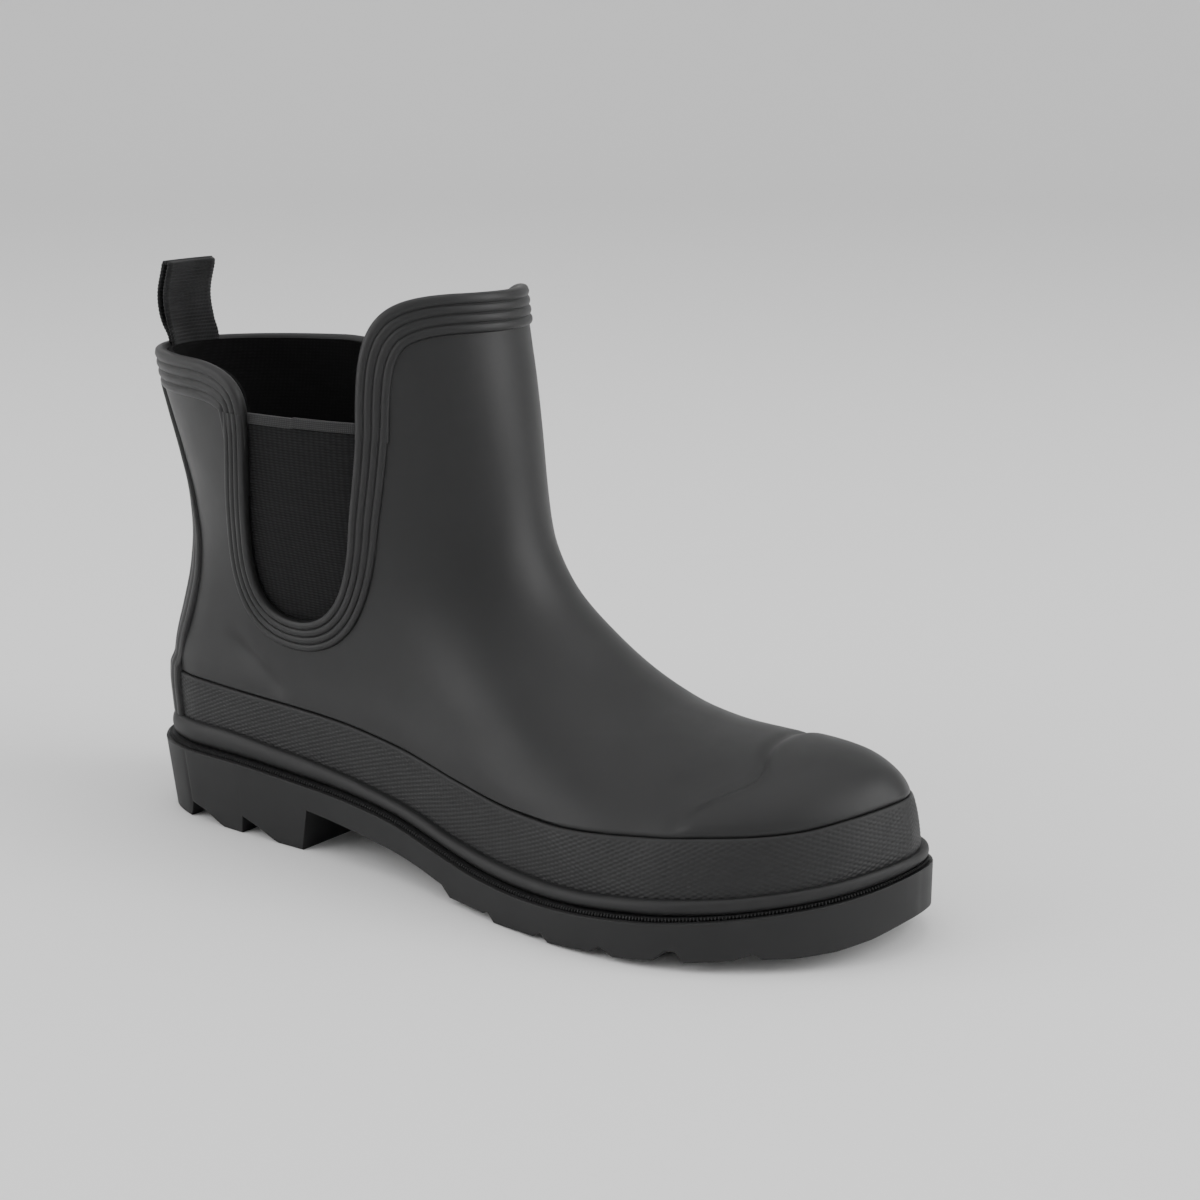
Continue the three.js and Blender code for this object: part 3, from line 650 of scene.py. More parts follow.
def knit(name, color, pitch_z, pitch_y, depth, roughness=0.92, sheen=0.05):
    """Ribbed knit: fine courses across and wales along, in the boot's own side view."""
    m, tree, b = new_material(name, color, roughness, 0.2)
    b.inputs["Sheen Weight"].default_value = sheen
    b.inputs["Sheen Roughness"].default_value = 0.5
    at = coordinates(tree, (1, 1, 1))
    wave = 2 * math.pi / 20
    courses = bands(tree, at, "Z", wave / pitch_z, 0.6)
    wales = bands(tree, at, "Y", wave / pitch_y, 0.4)
    fuzz = noise(tree, at, 3000.0, 3.0)
    weave = product(tree, courses, wales)
    tint(tree, b, weave, 0.0, 1.0, color, (0.55, 1.9))
    roughen(tree, b, fuzz, roughness - 0.08, 1.0)
    first = bump(tree, courses, 0.6, depth)
    second = bump(tree, wales, 0.35, depth * 0.6, first)
    tree.links.new(bump(tree, fuzz, 0.2, depth * 0.3, second), b.inputs["Normal"])
    return m


def grosgrain(name, color):
    m, tree, b = new_material(name, color, 0.85, 0.25)
    b.inputs["Sheen Weight"].default_value = 0.12
    at = coordinates(tree, (1, 1, 1))
    threads = bands(tree, at, "X", 2 * math.pi / 20 / 0.0006, 0.3)
    fuzz = noise(tree, at, 2500.0, 3.0)
    patch = noise(tree, at, 120.0, 3.0)
    tint(tree, b, patch, 0.35, 0.7, color, (0.75, 1.6))
    roughen(tree, b, fuzz, 0.75, 1.0)
    first = bump(tree, threads, 0.35, 0.00012)
    tree.links.new(bump(tree, fuzz, 0.25, 0.00008, first), b.inputs["Normal"])
    return m


def board(name, color):
    m, tree, b = new_material(name, color, 0.85, 0.3)
    at = coordinates(tree, (1, 1, 1))
    fibres = noise(tree, coordinates(tree, (6, 1, 6)), 180.0, 5.0, 0.7)
    specks = noise(tree, at, 900.0, 2.0)
    tint(tree, b, fibres, 0.3, 0.7, color, (0.75, 1.2))
    roughen(tree, b, specks, 0.75, 0.95)
    tree.links.new(bump(tree, fibres, 0.3, 0.0002), b.inputs["Normal"])
    return m


def steel(name):
    color = (0.55, 0.56, 0.57)
    m, tree, b = new_material(name, color, 0.32)
    b.inputs["Metallic"].default_value = 1.0
    drawn = noise(tree, coordinates(tree, (40, 1, 40)), 60.0, 3.0)
    tint(tree, b, drawn, 0.3, 0.7, color, (0.85, 1.0))
    roughen(tree, b, drawn, 0.25, 0.42)
    tree.links.new(bump(tree, drawn, 0.1, 0.00005), b.inputs["Normal"])
    return m


UPPER_RUBBER = rubber("upper_rubber", (0.011, 0.011, 0.0113), 0.47)
FOXING_RUBBER = rubber("foxing_rubber", (0.011, 0.011, 0.0113), 0.55, 0.2)
SOLE_RUBBER = rubber("sole_rubber", (0.010, 0.010, 0.0103), 0.58, 0.25)
ELASTIC = knit("elastic", (0.0075, 0.0075, 0.008), 0.0009, 0.0021, 0.0002, 0.85, 0.02)
TAPE = knit("elastic_binding", (0.026, 0.026, 0.0265), 0.0006, 0.0007, 0.00004, 0.5, 0.05)
LINING = knit("knit_lining", (0.0016, 0.0016, 0.0018), 0.0011, 0.0012, 0.00006, 0.96, 0.0)
WEBBING_CLOTH = grosgrain("webbing", (0.009, 0.009, 0.0095))
FOOTBED_CLOTH = knit("footbed_cloth", (0.03, 0.03, 0.032), 0.0015, 0.0016, 0.0002, 0.9, 0.05)
CORE_FOAM = rubber("core_foam", (0.05, 0.05, 0.052), 0.85, 0.6)
BOARD = board("fibre_board", (0.3, 0.23, 0.15))
STEEL = steel("shank_steel")


# ---------------------------------------------------------------- upper
def solve_v(u, target):
    """The v at which the surface at u reaches the height target(y)."""
    low, high = np.zeros_like(u), np.ones_like(u)
    for _ in range(40):
        middle = (low + high) / 2
        y, z = side_view(u, middle)
        below = z < target(y)
        low, high = np.where(below, middle, low), np.where(below, high, middle)
    return (low + high) / 2


def bump_line(d, width):
    return np.exp(-((d / width) ** 2))


TOE_CREASE_Y = 240
TOE_CREASE_DEPTH = 1.35
TOE_PUFF_STEP = 0.7
FOLD_FROM, FOLD_TO = (47.0, 66.0), (74.0, 48.5)  # (y, z) of the ankle fold's ends
FOLD_DEPTH = 1.1
FOLD_WIDTH = 3.2
UNEVENNESS = 0.16


def creases(x, y, z):
    """Outward relief of the bare rubber: toe-puff edge and the soft folds, in mm."""
    over = x - centre_x(y)
    line_y = TOE_CREASE_Y + 4.5 * bump_line(over - 24, 9) - 9 * ease((np.abs(over) - 28) / 18)
    s = y - line_y
    sharp = 0.55 + 0.45 * bump_line(over - 20, 10) - 0.35 * ease((over - 30) / 16)
    toe = z > 20
    relief = toe * (TOE_PUFF_STEP * ease((s + 2) / 6) * (1 - ease((s - 6) / 30)))
    relief = relief - toe * sharp * TOE_CREASE_DEPTH * bump_line(s + 0.6, 2.0)
    # fold below the gore, on the outer side
    a, b = np.array(FOLD_FROM), np.array(FOLD_TO)
    way = (b - a) / np.linalg.norm(b - a)
    run = (y - a[0]) * way[0] + (z - a[1]) * way[1]
    off = -(y - a[0]) * way[1] + (z - a[1]) * way[0]
    window = ease((run + 6) / 14) * (1 - ease((run - 22) / 10)) * (x > 0)
    relief = relief - window * FOLD_DEPTH * bump_line(off, FOLD_WIDTH)
    relief = relief + window * 0.25 * bump_line(off - 6, 5)
    # slight unevenness of dipped rubber
    wave = np.sin(y / 17 + z / 23) * np.sin(z / 19 - x / 15 + 1.3)
    return relief + UNEVENNESS * wave * ease((z - 50) / 20)


UPPER_COLUMNS = 420
UPPER_WALL = 2.0
LIP_PROUD = 0.95  # the rubber's swelling just over the foxing's top edge


def upper():
    """The rubber shell, cut away over the rim and the two gores."""
    u = np.linspace(0, 2 * math.pi, UPPER_COLUMNS, endpoint=False)
    fox = solve_v(u, foxing_top)
    near = np.array([0.0, 0.0022, 0.0044, 0.007, 0.0105, 0.015, 0.021])
    t = np.concatenate([near, np.linspace(0.028, 1, 170)])
    below = np.linspace(0, 0.93, 12)
    v = np.concatenate([below[:, None] * fox[None], mix(fox[None], 1.0, t[:, None])])
    uu = np.broadcast_to(u, v.shape)
    y, z = side_view(uu, v)
    height = z - foxing_top(y)
    lip = ease((height - 0.15) / 0.55) * (1 - ease((height - 2) / 16))
    base = on_face(uu, v)
    relief = creases(base[..., 0], y, z) * ease(height / 3) + LIP_PROUD * lip
    outside = at_depth(uu, v, -relief)
    inside = at_depth(uu, v, UPPER_WALL)
    gone = np.concatenate([chain(REAR_EDGE, GORE_EDGE, FRONT_EDGE), OVER_THE_RIM])
    cut = inside_outline(y, z, gone)
    cell = cut[:-1] | cut[1:]
    keep = ~(cell | np.roll(cell, -1, axis=1))
    shell = walled("upper", outside, inside, keep, UPPER_RUBBER, "upper_rubber")
    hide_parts("upper_shell")


def lining():
    """The knit inside the rubber and across the gores, cut off just under the rim."""
    u = np.linspace(0, 2 * math.pi, 220, endpoint=False)
    v = np.linspace(0.02, 1, 150)[:, None] * np.ones_like(u)
    uu = np.broadcast_to(u, v.shape)
    y, z = side_view(uu, v)
    top = chain(REAR_EDGE, line((65.4, GORE_TOP_Z - 1), (109.3, GORE_TOP_Z - 1)), FRONT_EDGE)
    edge = top + edge_normal(top) * 1.2
    gone = np.concatenate([edge, OVER_THE_RIM])
    cut = inside_outline(y, z, gone)
    all_cut = cut[:-1] & cut[1:]
    keep = ~(all_cut & np.roll(all_cut, -1, axis=1))
    z_edge = np.interp(y, edge[:, 0], edge[:, 1])
    fixed = np.minimum(z, np.where(cut, z_edge, z))
    outer, inner = at_depth(uu, v, LINING_OUTER), at_depth(uu, v, LINING_INNER)
    drop = (z - fixed)[..., None] * np.array([0, 0, 1.0])
    piece = walled("lining", outer - drop, inner - drop, keep, LINING, "knit_lining")
    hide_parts("lining")


# ---------------------------------------------------------------- trims
def trim_sections(path, normal, section, side, hold, scale, lift=None):
    """The trim's section set along the path; scale widens it and lift raises it on the way."""
    w = section[:, 0][None, :] * scale[:, None]
    depth = np.broadcast_to(section[:, 1][None, :], w.shape).copy()
    if lift is not None:
        raised = depth < 0.3
        depth = np.where(raised, depth - lift[:, None], depth)
    return on_band(path, normal, w, depth, side, hold)


def both_sides(path, normal, section, **options):
    """The band on both sides of the boot, joined where the path starts on its middle line."""
    one = trim_sections(path, normal, section, 1, True, **options)
    two = trim_sections(path, normal, section, -1, True, **options)
    return np.concatenate([two[1:][::-1], one])


def rear_collar():
    tuck = GORE_EDGE[:38]
    whole = chain(REAR_EDGE, tuck)
    whole = whole[whole[:, 0] >= back_y(whole[:, 1])]
    start = np.array([[float(back_y(REAR_RIM_Z)), REAR_RIM_Z]])
    path, normal = stood(np.concatenate([start, whole]), 150)
    normal[0] = (0, -1)
    t = np.linspace(0, 1, len(path))
    scale = 1 - 0.3 * ease((t - 0.62) / 0.3)
    lift = -0.55 * ease((t - 0.72) / 0.2)
    section = rib_section(COLLAR_WIDTH, 1.5, 0.0, 3.0)
    sections = both_sides(path, normal, section, scale=scale, lift=lift)
    piece = swept("rear_collar", sections, UPPER_RUBBER, "upper_rubber", sharp=60)
    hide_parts("rear_collar_trim")


def front_collar():
    whole = FRONT_EDGE[FRONT_EDGE[:, 0] <= front_y(FRONT_EDGE[:, 1])][::-1]
    start = np.array([[float(front_y(whole[0, 1])), whole[0, 1]]])
    tail = GORE_EDGE[-8:][::-1]
    path, normal = stood(chain(np.concatenate([start, whole]), tail), 150)
    normal = -normal
    normal[0] = (0, -1)
    section = rib_section(GORE_TRIM_WIDTH + 0.4, 1.5, 0.0, 3.0)
    t = np.linspace(0, 1, len(path))
    scale = 1 + 0.14 * (1 - ease((t - 0.45) / 0.3))
    lift = 0.14 * ease((t - 0.8) / 0.1)
    sections = both_sides(path, normal, section, scale=scale, lift=lift)
    piece = swept("front_collar", sections, UPPER_RUBBER, "upper_rubber", sharp=60)
    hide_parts("front_collar_trim")


def gore_trim(side, name):
    path, normal = stood(GORE_EDGE, 190)
    section = rib_section(GORE_TRIM_WIDTH, 0.8, 0.05, 2.3)
    t = np.linspace(0, 1, len(path))
    scale = 1 - 0.14 * (1 - ease(t / 0.22))
    sections = trim_sections(path, normal, section, side, False, scale)
    piece = swept(name, sections, UPPER_RUBBER, "upper_rubber", sharp=60)
    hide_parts(name)


# ---------------------------------------------------------------- gores
def gore_fall(y, z):
    """The slack of the elastic: it lies a little deeper in the middle of the panel."""
    across = ease((y - 60) / 20) * (1 - ease((y - 88) / 20))
    return 0.5 * across * ease((z - 74) / 20)


GORE_LOW_Z = 72.5
GORE_TUCK = 4.2  # how far the panel runs in under the trim
GORE_DEPTH = 2.35
GORE_THICK = 1.0


def gore(side, name):
    """The elastic panel, between two heights behind the gore's trim."""
    z = np.linspace(GORE_LOW_Z, GORE_TOP_Z - 3.2, 70)
    edge = GORE_EDGE + edge_normal(GORE_EDGE) * GORE_TUCK
    rear = edge[: len(edge) // 2 - 8]
    front = edge[len(edge) // 2 + 8:]
    y0 = np.interp(z, rear[::-1, 1], rear[::-1, 0])
    y1 = np.interp(z, front[:, 1], front[:, 0])
    y = mix(y0[:, None], y1[:, None], np.linspace(0, 1, 60)[None])
    zz = np.broadcast_to(z[:, None], y.shape)
    depth = GORE_DEPTH + gore_fall(y, zz)
    phi = phi_of(y, zz) * side
    out = skin(phi, zz, depth)
    back = skin(phi, zz, depth + GORE_THICK)
    sections = np.concatenate([out, back[:, ::-1]], axis=1)
    piece = swept(name, sections, ELASTIC, "elastic")
    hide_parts(name)


def binding(side, name):
    """Folded tape over the elastic's top edge, with the lap where its ends meet."""
    low, high = GORE_TOP_Z - 3.4, GORE_TOP_Z
    y = np.linspace(62.5, 113.5, 90)
    lap = ease((y - 84) / 0.8)
    section = []
    for a in np.linspace(0, 360, 20, endpoint=False):
        r = math.radians(a)
        c, s = math.cos(r), math.sin(r)
        flat = (abs(c) ** 0.45 * np.sign(c), abs(s) ** 0.45 * np.sign(s))
        section.append((flat[0] * 0.95, flat[1] * (high - low) / 2))
    section = np.array(section)
    z = (high + low) / 2 + section[None, :, 1] + 0.35 * lap[:, None]
    depth = 2.75 + gore_fall(y, np.full_like(y, 140.0))[:, None] - section[None, :, 0]
    depth = depth - 0.2 * lap[:, None]
    yy = np.broadcast_to(y[:, None], z.shape)
    sections = skin(phi_of(yy, z) * side, z, depth)
    piece = swept(name, sections, TAPE, "elastic_binding", sharp=50)
    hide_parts(name)


# ---------------------------------------------------------------- foxing, back strip, bead, welt
ROUND_BACK = 5.0  # y at the back of the lines that run round the foot
KNURL_REPEAT = 3.2  # length round the foot of one diamond
KNURL_HEIGHT = 0.34
KNURL_SLOPE = 1.35


def even_round(z_of_y, depth, pitch):
    """Angles round the horizontal slices at z_of_y(y), spaced by pitch along the surface."""
    phi = np.linspace(0, 2 * math.pi, 4001)
    z = z_of_y(mix(ROUND_BACK, UPPER_FRONT, (1 - np.cos(phi)) / 2))
    p = skin(phi, z, depth)
    run = distance_along(p)
    count = int(run[-1] / pitch / 8) * 8
    s = np.linspace(0, run[-1], count, endpoint=False)
    return np.interp(s, run, phi), s, run[-1]


def foxing():
    middle = lambda y: (foxing_top(y) + foxing_bottom(y)) / 2
    phi, s, total = even_round(middle, -1.3, 0.42)
    rows = 56
    t = np.linspace(0, 1, rows)[:, None]
    pp = np.broadcast_to(phi, (rows, len(phi)))
    z = np.broadcast_to(middle(mix(ROUND_BACK, UPPER_FRONT, (1 - np.cos(phi)) / 2)), pp.shape)
    for _ in range(6):
        y = mix(back_y(z), front_y(z), (1 - np.cos(pp)) / 2)
        z = mix(foxing_bottom(y) - 0.6, foxing_top(y), t)
    repeats = round(total / KNURL_REPEAT)
    along = s[None, :] / total * repeats
    up = (z - middle(y)) / KNURL_SLOPE
    cross = np.abs(np.cos(math.pi * (along + up)) * np.cos(math.pi * (along - up)))
    margin = ease((foxing_top(y) - z - 0.6) / 0.8)
    knurl = KNURL_HEIGHT * cross**0.8 * margin + KNURL_HEIGHT / 2 * (1 - margin)
    round_off = 0.5 * ease((z - foxing_top(y) + 0.5) / 0.5)
    outside = skin(pp, z, -(FOXING_PROUD - 0.3 + knurl - round_off))
    inside_top = skin(pp[-1:], z[-1:], 0.3)
    inside_low = skin(pp[:1], z[:1], 0.3)
    loops = np.concatenate([inside_low, outside, inside_top])
    piece = closed_ring("foxing", loops, FOXING_RUBBER, "foxing_rubber", 60)
    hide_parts("foxing_band")


STRIP_PROFILE = [
    (-1, 0), (-1, 0.55), (-0.985, 0.85), (-0.955, 1), (-0.925, 0.97), (-0.9, 0.72), (-0.875, 0.97),
    (-0.85, 1), (-0.82, 0.97), (-0.795, 0.72), (-0.77, 0.93), (-0.72, 1), (-0.4, 1), (0, 1),
]


def back_strip():
    """The stay over the heel seam: a low, wide strip with two fine ribs along each edge."""
    z = np.linspace(float(foxing_bottom(0)) + 0.2, REAR_RIM_Z - COLLAR_WIDTH + 0.6, 260)
    half = [[w, h] for w, h in STRIP_PROFILE]
    under = [[w, 0] for w in np.linspace(1, -1, 19)[1:-1]]
    profile = np.array(half + [[-w, h] for w, h in half[-2::-1]] + under)
    table = np.linspace(0, 1.5, 500)
    sections = []
    for one in z:
        run = []
        for sign in (1, -1):
            run.append(distance_along(on_slice(table * sign, np.full_like(table, one))))
        width = float(strip_half(one))
        along = profile[:, 0] * width
        phi = np.where(along >= 0, np.interp(along, run[0], table), -np.interp(-along, run[1], table))
        over = 1 - float(ease((one - float(foxing_top(0)) - 0.5) / 5))
        high = profile[:, 1]
        rise = STRIP_PROUD * high + (FOXING_PROUD - 0.1) * over * np.minimum(1, high * 4)
        sections.append(skin(phi, np.full_like(phi, one), 0.4 * (high == 0) - rise))
    piece = swept("back_strip", np.array(sections), UPPER_RUBBER, "upper_rubber", sharp=50)
    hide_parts("back_strip")


def even_angles(pitch):
    """Angles along the sole's outline, closer together where it turns."""
    a = np.linspace(0, math.pi, 2001)
    p = outer_edge(a)
    run = distance_along(p)
    return np.interp(np.linspace(0, run[-1], int(run[-1] / pitch)), run, a)


def bead():
    """The round bead between the foxing and the sole's ledge."""
    def section(y):
        """(inset, z) of each point of the bead's outline."""
        base = ledge(y) + 1.2
        top = np.maximum(base + 2, foxing_bottom(y) + 0.2)
        middle, radius = (base + top) / 2, (top - base) / 2
        root = upper_inset(y) - 1.4
        proud = mix(2.7, 1.7, toeward(y))
        points = [(root + 1.1, base)]
        for degrees in np.linspace(-90, 90, 17):
            a = math.radians(degrees)
            bulge = abs(math.cos(a)) ** 0.8
            points.append((root - proud * bulge, middle + radius * math.sin(a)))
        points.append((root + 1.1, top))
        return points

    angles = even_angles(1.6)
    loops = []
    for k in range(len(section(np.zeros(1)))):
        p = sole_loop(angles, lambda y: section(y)[k][0])
        loops.append(np.concatenate([p, section(p[:, 1])[k][1][:, None]], 1))
    piece = closed_ring("bead", np.array(loops), FOXING_RUBBER, "foxing_rubber", 60)
    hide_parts("welt_bead")


def welt():
    """The serrated strip in the groove between the bead and the sole's ledge."""
    angles = even_angles(0.26)
    count = len(sole_loop(angles, 0))
    tooth = np.where(np.arange(count) % 4 < 2, 0.0, 1.0)
    loops = []
    deep = lambda y: upper_inset(y) - 0.3
    section = [(deep, 0.05, 0), (1.3, 0.05, 1), (1.1, 0.55, 1), (1.5, 1.1, 1), (deep, 1.2, 0)]
    for inset, lift, bite in section:
        p = sole_loop(angles, inset)
        if bite:
            p = mix(p, sole_loop(angles, inset + 0.8), tooth[:, None])
        loops.append(np.concatenate([p, (ledge(p[:, 1]) + lift)[:, None]], 1))
    piece = closed_ring("welt", np.array(loops), SOLE_RUBBER, "sole_rubber")
    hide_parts("welt_strip")


# ---------------------------------------------------------------- sole
def tread(y):
    t = np.array(TREAD, float)
    return np.interp(y, t[:, 0], t[:, 1])


def tread_stations():
    """Angles of the cross rows of the sole, with extra ones at the corners of the lugs."""
    corners = np.array([y for y, _ in TREAD if 0 < y < SOLE_LENGTH], float)
    close = np.concatenate([corners - 0.35, corners, corners + 0.35])
    at = np.arccos(1 - 2 * np.clip(close, 0.01, SOLE_LENGTH - 0.01) / SOLE_LENGTH)
    return np.unique(np.concatenate([even_angles(2.2), at]))


def wall_inset(y):
    return mix(3.0, 0.2, ease((y - 10) / 120))


def outsole():
    """The sole: its wall, the lugs across it, and a narrow channel along its middle underneath."""
    angles = tread_stations()
    channel_x, channel_depth = 3.0, 3.5
    channel_from, channel_to = 8, 262

    def loops_at(inset):
        return sole_side(angles, inset, False), sole_side(angles, inset, True)

    def across(inset, parts):
        inner, outer = loops_at(inset)
        return np.stack([mix(inner, outer, t) for t in parts], 1)

    def low(lift):
        return lambda y: tread(y) + lift

    def slope(height):
        """The wall leans in evenly from the ledge to the ground, whatever the tread does."""
        return lambda y: wall_inset(y) * np.clip(1 - height(y) / ledge(y), 0, 1)

    levels = [
        (lambda y: 0.45 + 0 * y, lambda y: ledge(y)),
        (lambda y: 0.1 + 0 * y, lambda y: ledge(y) - 0.12),
        (lambda y: 0 * y, lambda y: ledge(y) - 0.5),
        (slope(lambda y: ledge(y) - 0.9), lambda y: ledge(y) - 0.9),
        (slope(low(1.0)), low(1.0)),
        (slope(low(0.6)), low(0.6)),
        (lambda y: slope(low(0.15))(y) + 0.18, low(0.15)),
        (lambda y: slope(low(0.0))(y) + 0.6, low(0.0)),
    ]
    sides = []
    for inset, height in levels:
        inner, outer = loops_at(inset)
        sides.append([np.concatenate([p, height(p[:, 1])[:, None]], 1) for p in (inner, outer)])
    parts = np.linspace(0, 1, 15)[1:-1]
    top = across(levels[0][0], parts)
    top = np.concatenate([top, ledge(top[..., 1])[..., None]], -1)
    inner, outer = loops_at(levels[-1][0])
    count = len(angles)
    under_x = [mix(inner[:, 0], -channel_x - 0.3, t) for t in (0.3, 0.65, 1.0)]
    under_x += [np.full(count, -channel_x), np.full(count, channel_x)]
    under_x += [mix(channel_x + 0.3, outer[:, 0], t) for t in (0.0, 0.35, 0.7)]
    wide = np.minimum(-inner[:, 0], outer[:, 0]) > channel_x + 2
    rows = []
    for k, x in enumerate(under_x):
        t = (k + 1) / (len(under_x) + 1)
        plain = mix(inner, outer, t)
        share = (x - inner[:, 0]) / (outer[:, 0] - inner[:, 0] + 1e-9)
        y = mix(inner[:, 1], outer[:, 1], np.clip(share, 0, 1))
        px = np.where(wide, x, plain[:, 0])
        py = np.where(wide, y, plain[:, 1])
        along = ease((py - channel_from) / 2) * (1 - ease((py - channel_to) / 3))
        cut = channel_depth * (k in (3, 4)) * along * wide
        rows.append(np.stack([px, py, np.minimum(tread(py) + cut, ledge(py) - 3)], -1))
    section = [s[0] for s in sides]  # down the inner wall
    section += rows
    section += [s[1] for s in sides][::-1]
    section += [top[:, k] for k in range(top.shape[1])][::-1]
    sections = np.stack(section, 1)
    piece = swept("sole", sections, SOLE_RUBBER, "sole_rubber", sharp=32)
    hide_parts("outsole")


FOOTBED_GAP = 2.4  # clearance between the footbed's edge and the lining
FOOTBED_BASE = 2.7  # height of the footbed's underside over the sole's ledge
FOOTBED_THICK = 3.6


def footbed():
    """Cloth-topped foam insole: flat under the foot, turned up a little round the heel."""
    angles = even_angles(2.4)
    inset = UPPER_INSET + LINING_INNER + FOOTBED_GAP
    base = lambda y: ledge(y) + FOOTBED_BASE
    inner, outer = sole_side(angles, inset, False), sole_side(angles, inset, True)
    parts = (1 - np.cos(np.linspace(0, math.pi, 25))) / 2
    flat = np.stack([mix(inner, outer, t) for t in parts], 1)
    edge = 1 - np.abs(2 * parts - 1) ** 6
    tip = np.sin(np.clip(angles, 0, math.pi)) ** 0.35
    cup = np.abs(2 * parts - 1)[None, :] ** 3 * (1 - ease((flat[..., 1] - 60) / 60))
    thick = FOOTBED_THICK * (0.45 + 0.55 * edge[None, :] * tip[:, None]) + 1.6 * cup * tip[:, None]
    top = np.concatenate([flat, (base(flat[..., 1]) + thick)[..., None]], -1)
    low = np.concatenate([flat, base(flat[..., 1])[..., None]], -1)
    sections = np.concatenate([top, low[:, ::-1]], 1)
    piece = swept("footbed_pad", sections, FOOTBED_CLOTH, "foam", body="footbed", sharp=70)
    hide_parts("footbed")


# ---------------------------------------------------------------- pull loop
LOOP_CAP_Z = LOOP_TOP_Z - 1.6
SEWN_DEPTH = 3.35  # middle of the webbing's sewn-in ends, between the rubber and the lining


def loop_line():
    """Centreline of the webbing in the side view: up between the layers, over, and back down."""
    z = np.linspace(138, LOOP_CAP_Z, 70)
    wall = back_y(np.minimum(z, REAR_RIM_Z)) + SEWN_DEPTH
    up = (z - REAR_RIM_Z) / (LOOP_CAP_Z - REAR_RIM_Z)
    free = 0.9 - 2.6 * np.sin(np.clip(up, 0, 1) * math.pi) ** 1.2 + 1.2 * up
    middle = mix(wall, free, ease((z - REAR_RIM_Z) / 7))
    gap = 0.68 + 0.75 * ease((z - REAR_RIM_Z - 1) / 9)
    rear = np.stack([middle - gap, z], -1)
    front = np.stack([middle + gap, z], -1)[::-1]
    a = np.linspace(math.pi, 0, 14)[1:-1]
    cap = np.stack([middle[-1] + gap[-1] * np.cos(a), LOOP_CAP_Z + 0.95 * np.sin(a)], -1)
    return np.concatenate([rear, cap, front])


def pull_loop():
    """Ribbed webbing folded over into a loop."""
    path = loop_line()
    run = distance_along(path)
    s = np.arange(0, run[-1], 0.2)
    path = np.stack([np.interp(s, run, c) for c in path.T], -1)
    tangent = unit(np.gradient(path, axis=0))
    normal = np.stack([-tangent[:, 1], tangent[:, 0]], -1)
    rib = np.cos(2 * math.pi * s / 1.2)
    half = LOOP_WIDTH / 2
    x = np.linspace(-half + 0.4, half - 0.4, 13)
    round_wall = x**2 / 42
    sections = []
    for p, n, r in zip(path, normal, rib):
        curve = round_wall * (1 - 0.75 * float(ease((p[1] - REAR_RIM_Z) / 20)))
        thick = WEBBING / 2 + 0.13 * r
        near = [(one, p[0] + n[0] * thick + c, p[1] + n[1] * thick) for one, c in zip(x, curve)]
        far = [(one, p[0] - n[0] * thick + c, p[1] - n[1] * thick) for one, c in zip(x, curve)]
        edge = half + 0.12 * r
        right, left = (edge, p[0] + curve[-1], p[1]), (-edge, p[0] + curve[0], p[1])
        sections.append([*near, right, *far[::-1], left])
    piece = swept("pull_loop_webbing", np.array(sections), WEBBING_CLOTH, "webbing", body=None, sharp=75)
    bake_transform(piece)
    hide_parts("pull_loop", "pull_loop_anchor")


# ---------------------------------------------------------------- hidden pieces, from the CAD
def paint_hidden():
    looks = {
        "heel_core": CORE_FOAM, "shank": STEEL, "insole_board": BOARD,
        "toe_puff": BOARD, "heel_counter": BOARD,
    }
    for name, material in looks.items():
        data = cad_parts[name].data
        data.materials.clear()
        data.materials.append(material)


# ---------------------------------------------------------------- stage
CAMERA_AT = (570.12, 588.21, 262.52)
CAMERA_TURN = (90 - 13.7, 0, 125.89)
FOCAL_PER_WIDTH = 1.96


def camera():
    data = bpy.data.cameras.new("camera")
    data.sensor_width = 36
    data.lens = 36 * FOCAL_PER_WIDTH
    cam = bpy.data.objects.new("camera", data)
    cam.location = place(CAMERA_AT)
    cam.rotation_euler = [math.radians(a) for a in CAMERA_TURN]
    bpy.context.scene.collection.objects.link(cam)
    bpy.context.scene.camera = cam


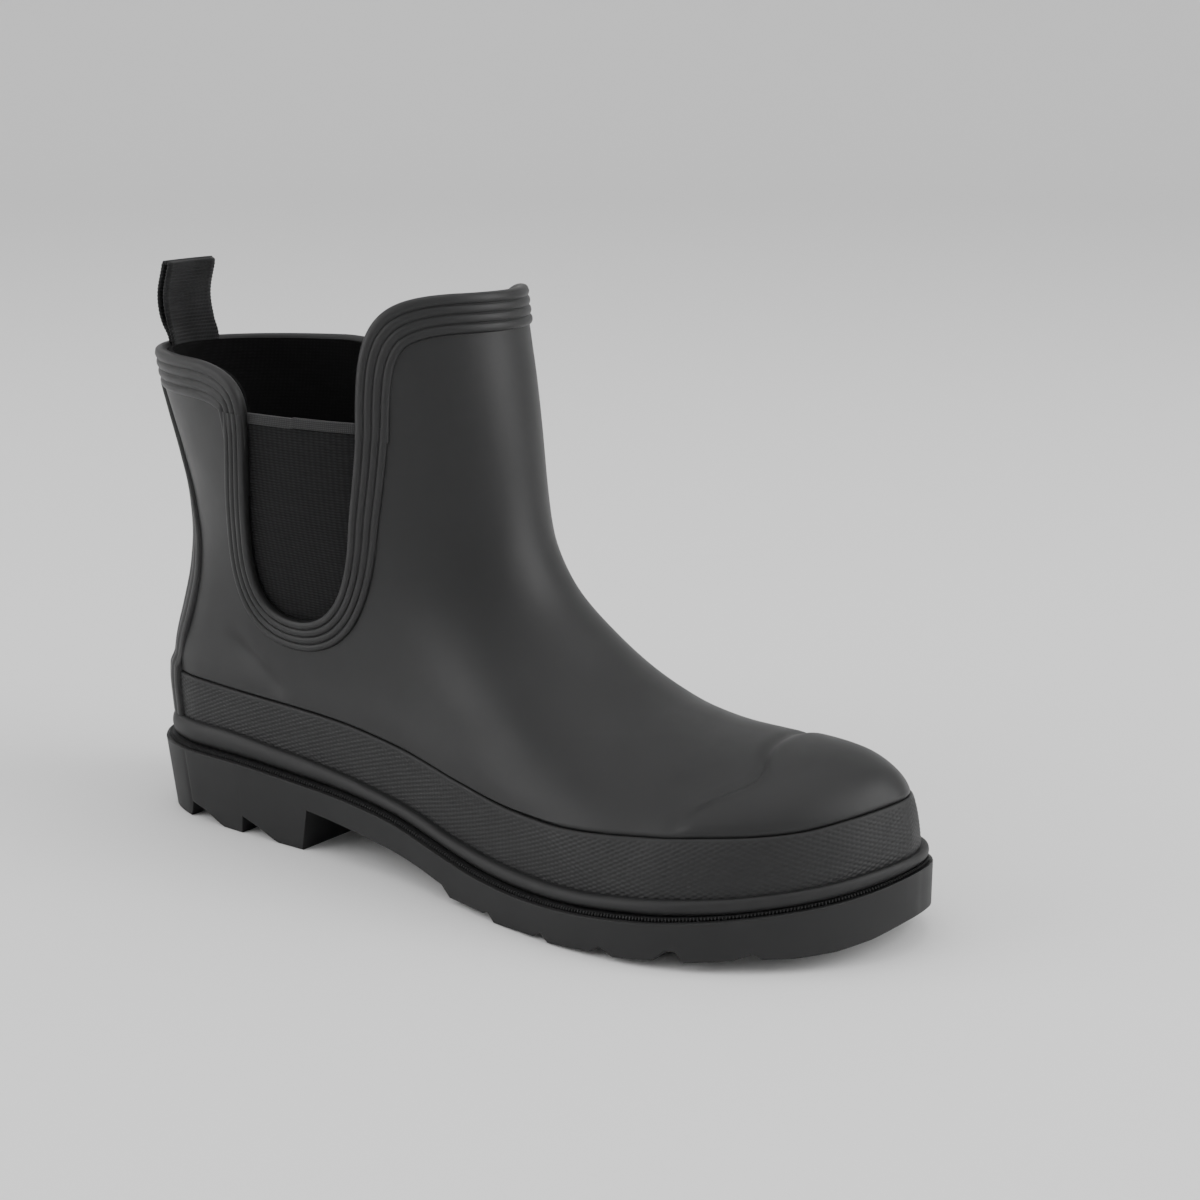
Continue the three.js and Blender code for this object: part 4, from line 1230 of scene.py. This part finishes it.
def area_light(name, at, target, size, power):
    data = bpy.data.lights.new(name, "AREA")
    data.shape = "RECTANGLE"
    data.size, data.size_y = size
    data.energy = power
    obj = bpy.data.objects.new(name, data)
    obj.location = at
    obj.rotation_mode = "QUATERNION"
    obj.rotation_quaternion = (Vector(at) - Vector(target)).to_track_quat("Z", "Y")
    bpy.context.scene.collection.objects.link(obj)


def studio():
    world = bpy.data.worlds.new("studio")
    world.use_nodes = True
    world.node_tree.nodes["Background"].inputs["Color"].default_value = (1, 1, 1, 1)
    world.node_tree.nodes["Background"].inputs["Strength"].default_value = 0.95
    bpy.context.scene.world = world
    area_light("left", (1.4, -1.3, 0.9), (0, -0.05, 0.1), (1.8, 1.6), 20)
    area_light("right", (-0.5, 1.6, 0.9), (0, 0, 0.08), (1.3, 1.8), 27)
    area_light("top", (0.1, -0.1, 1.9), (0, 0, 0.05), (1.6, 1.6), 6)
    floor = sweep("floor")
    floor.data.materials.append(new_material("floor", (0.86, 0.86, 0.86), 0.8, 0.1)[0])


def sweep(name):
    """A flat floor that curves up all round, far out, into the backdrop."""
    flat, rise, around = 3.0, 1.6, 96
    a = np.linspace(0, math.pi / 2, 13)
    radius = np.concatenate([[0.6, flat], flat + rise * np.sin(a[1:]), [flat + rise]])
    height = np.concatenate([[0, 0], rise * (1 - np.cos(a[1:])), [4.5]])
    turn = np.linspace(0, 2 * math.pi, around, endpoint=False)
    rings = [[(r * math.cos(t), r * math.sin(t), h) for t in turn] for r, h in zip(radius, height)]
    points = np.array(rings).reshape(-1, 3)
    faces = [f[::-1] for f in quads(len(rings), around, False)] + [list(range(around))]
    data = bpy.data.meshes.new(name)
    data.from_pydata(points.tolist(), [], faces)
    data.shade_smooth()
    obj = bpy.data.objects.new(name, data)
    bpy.context.scene.collection.objects.link(obj)
    return obj


upper()
lining()
rear_collar()
front_collar()
for side, which in ((1, "outer"), (-1, "inner")):
    gore_trim(side, which + "_gore_trim")
    gore(side, which + "_gore")
    binding(side, which + "_gore_binding")
foxing()
back_strip()
bead()
welt()
outsole()
footbed()
pull_loop()
paint_hidden()
camera()
studio()
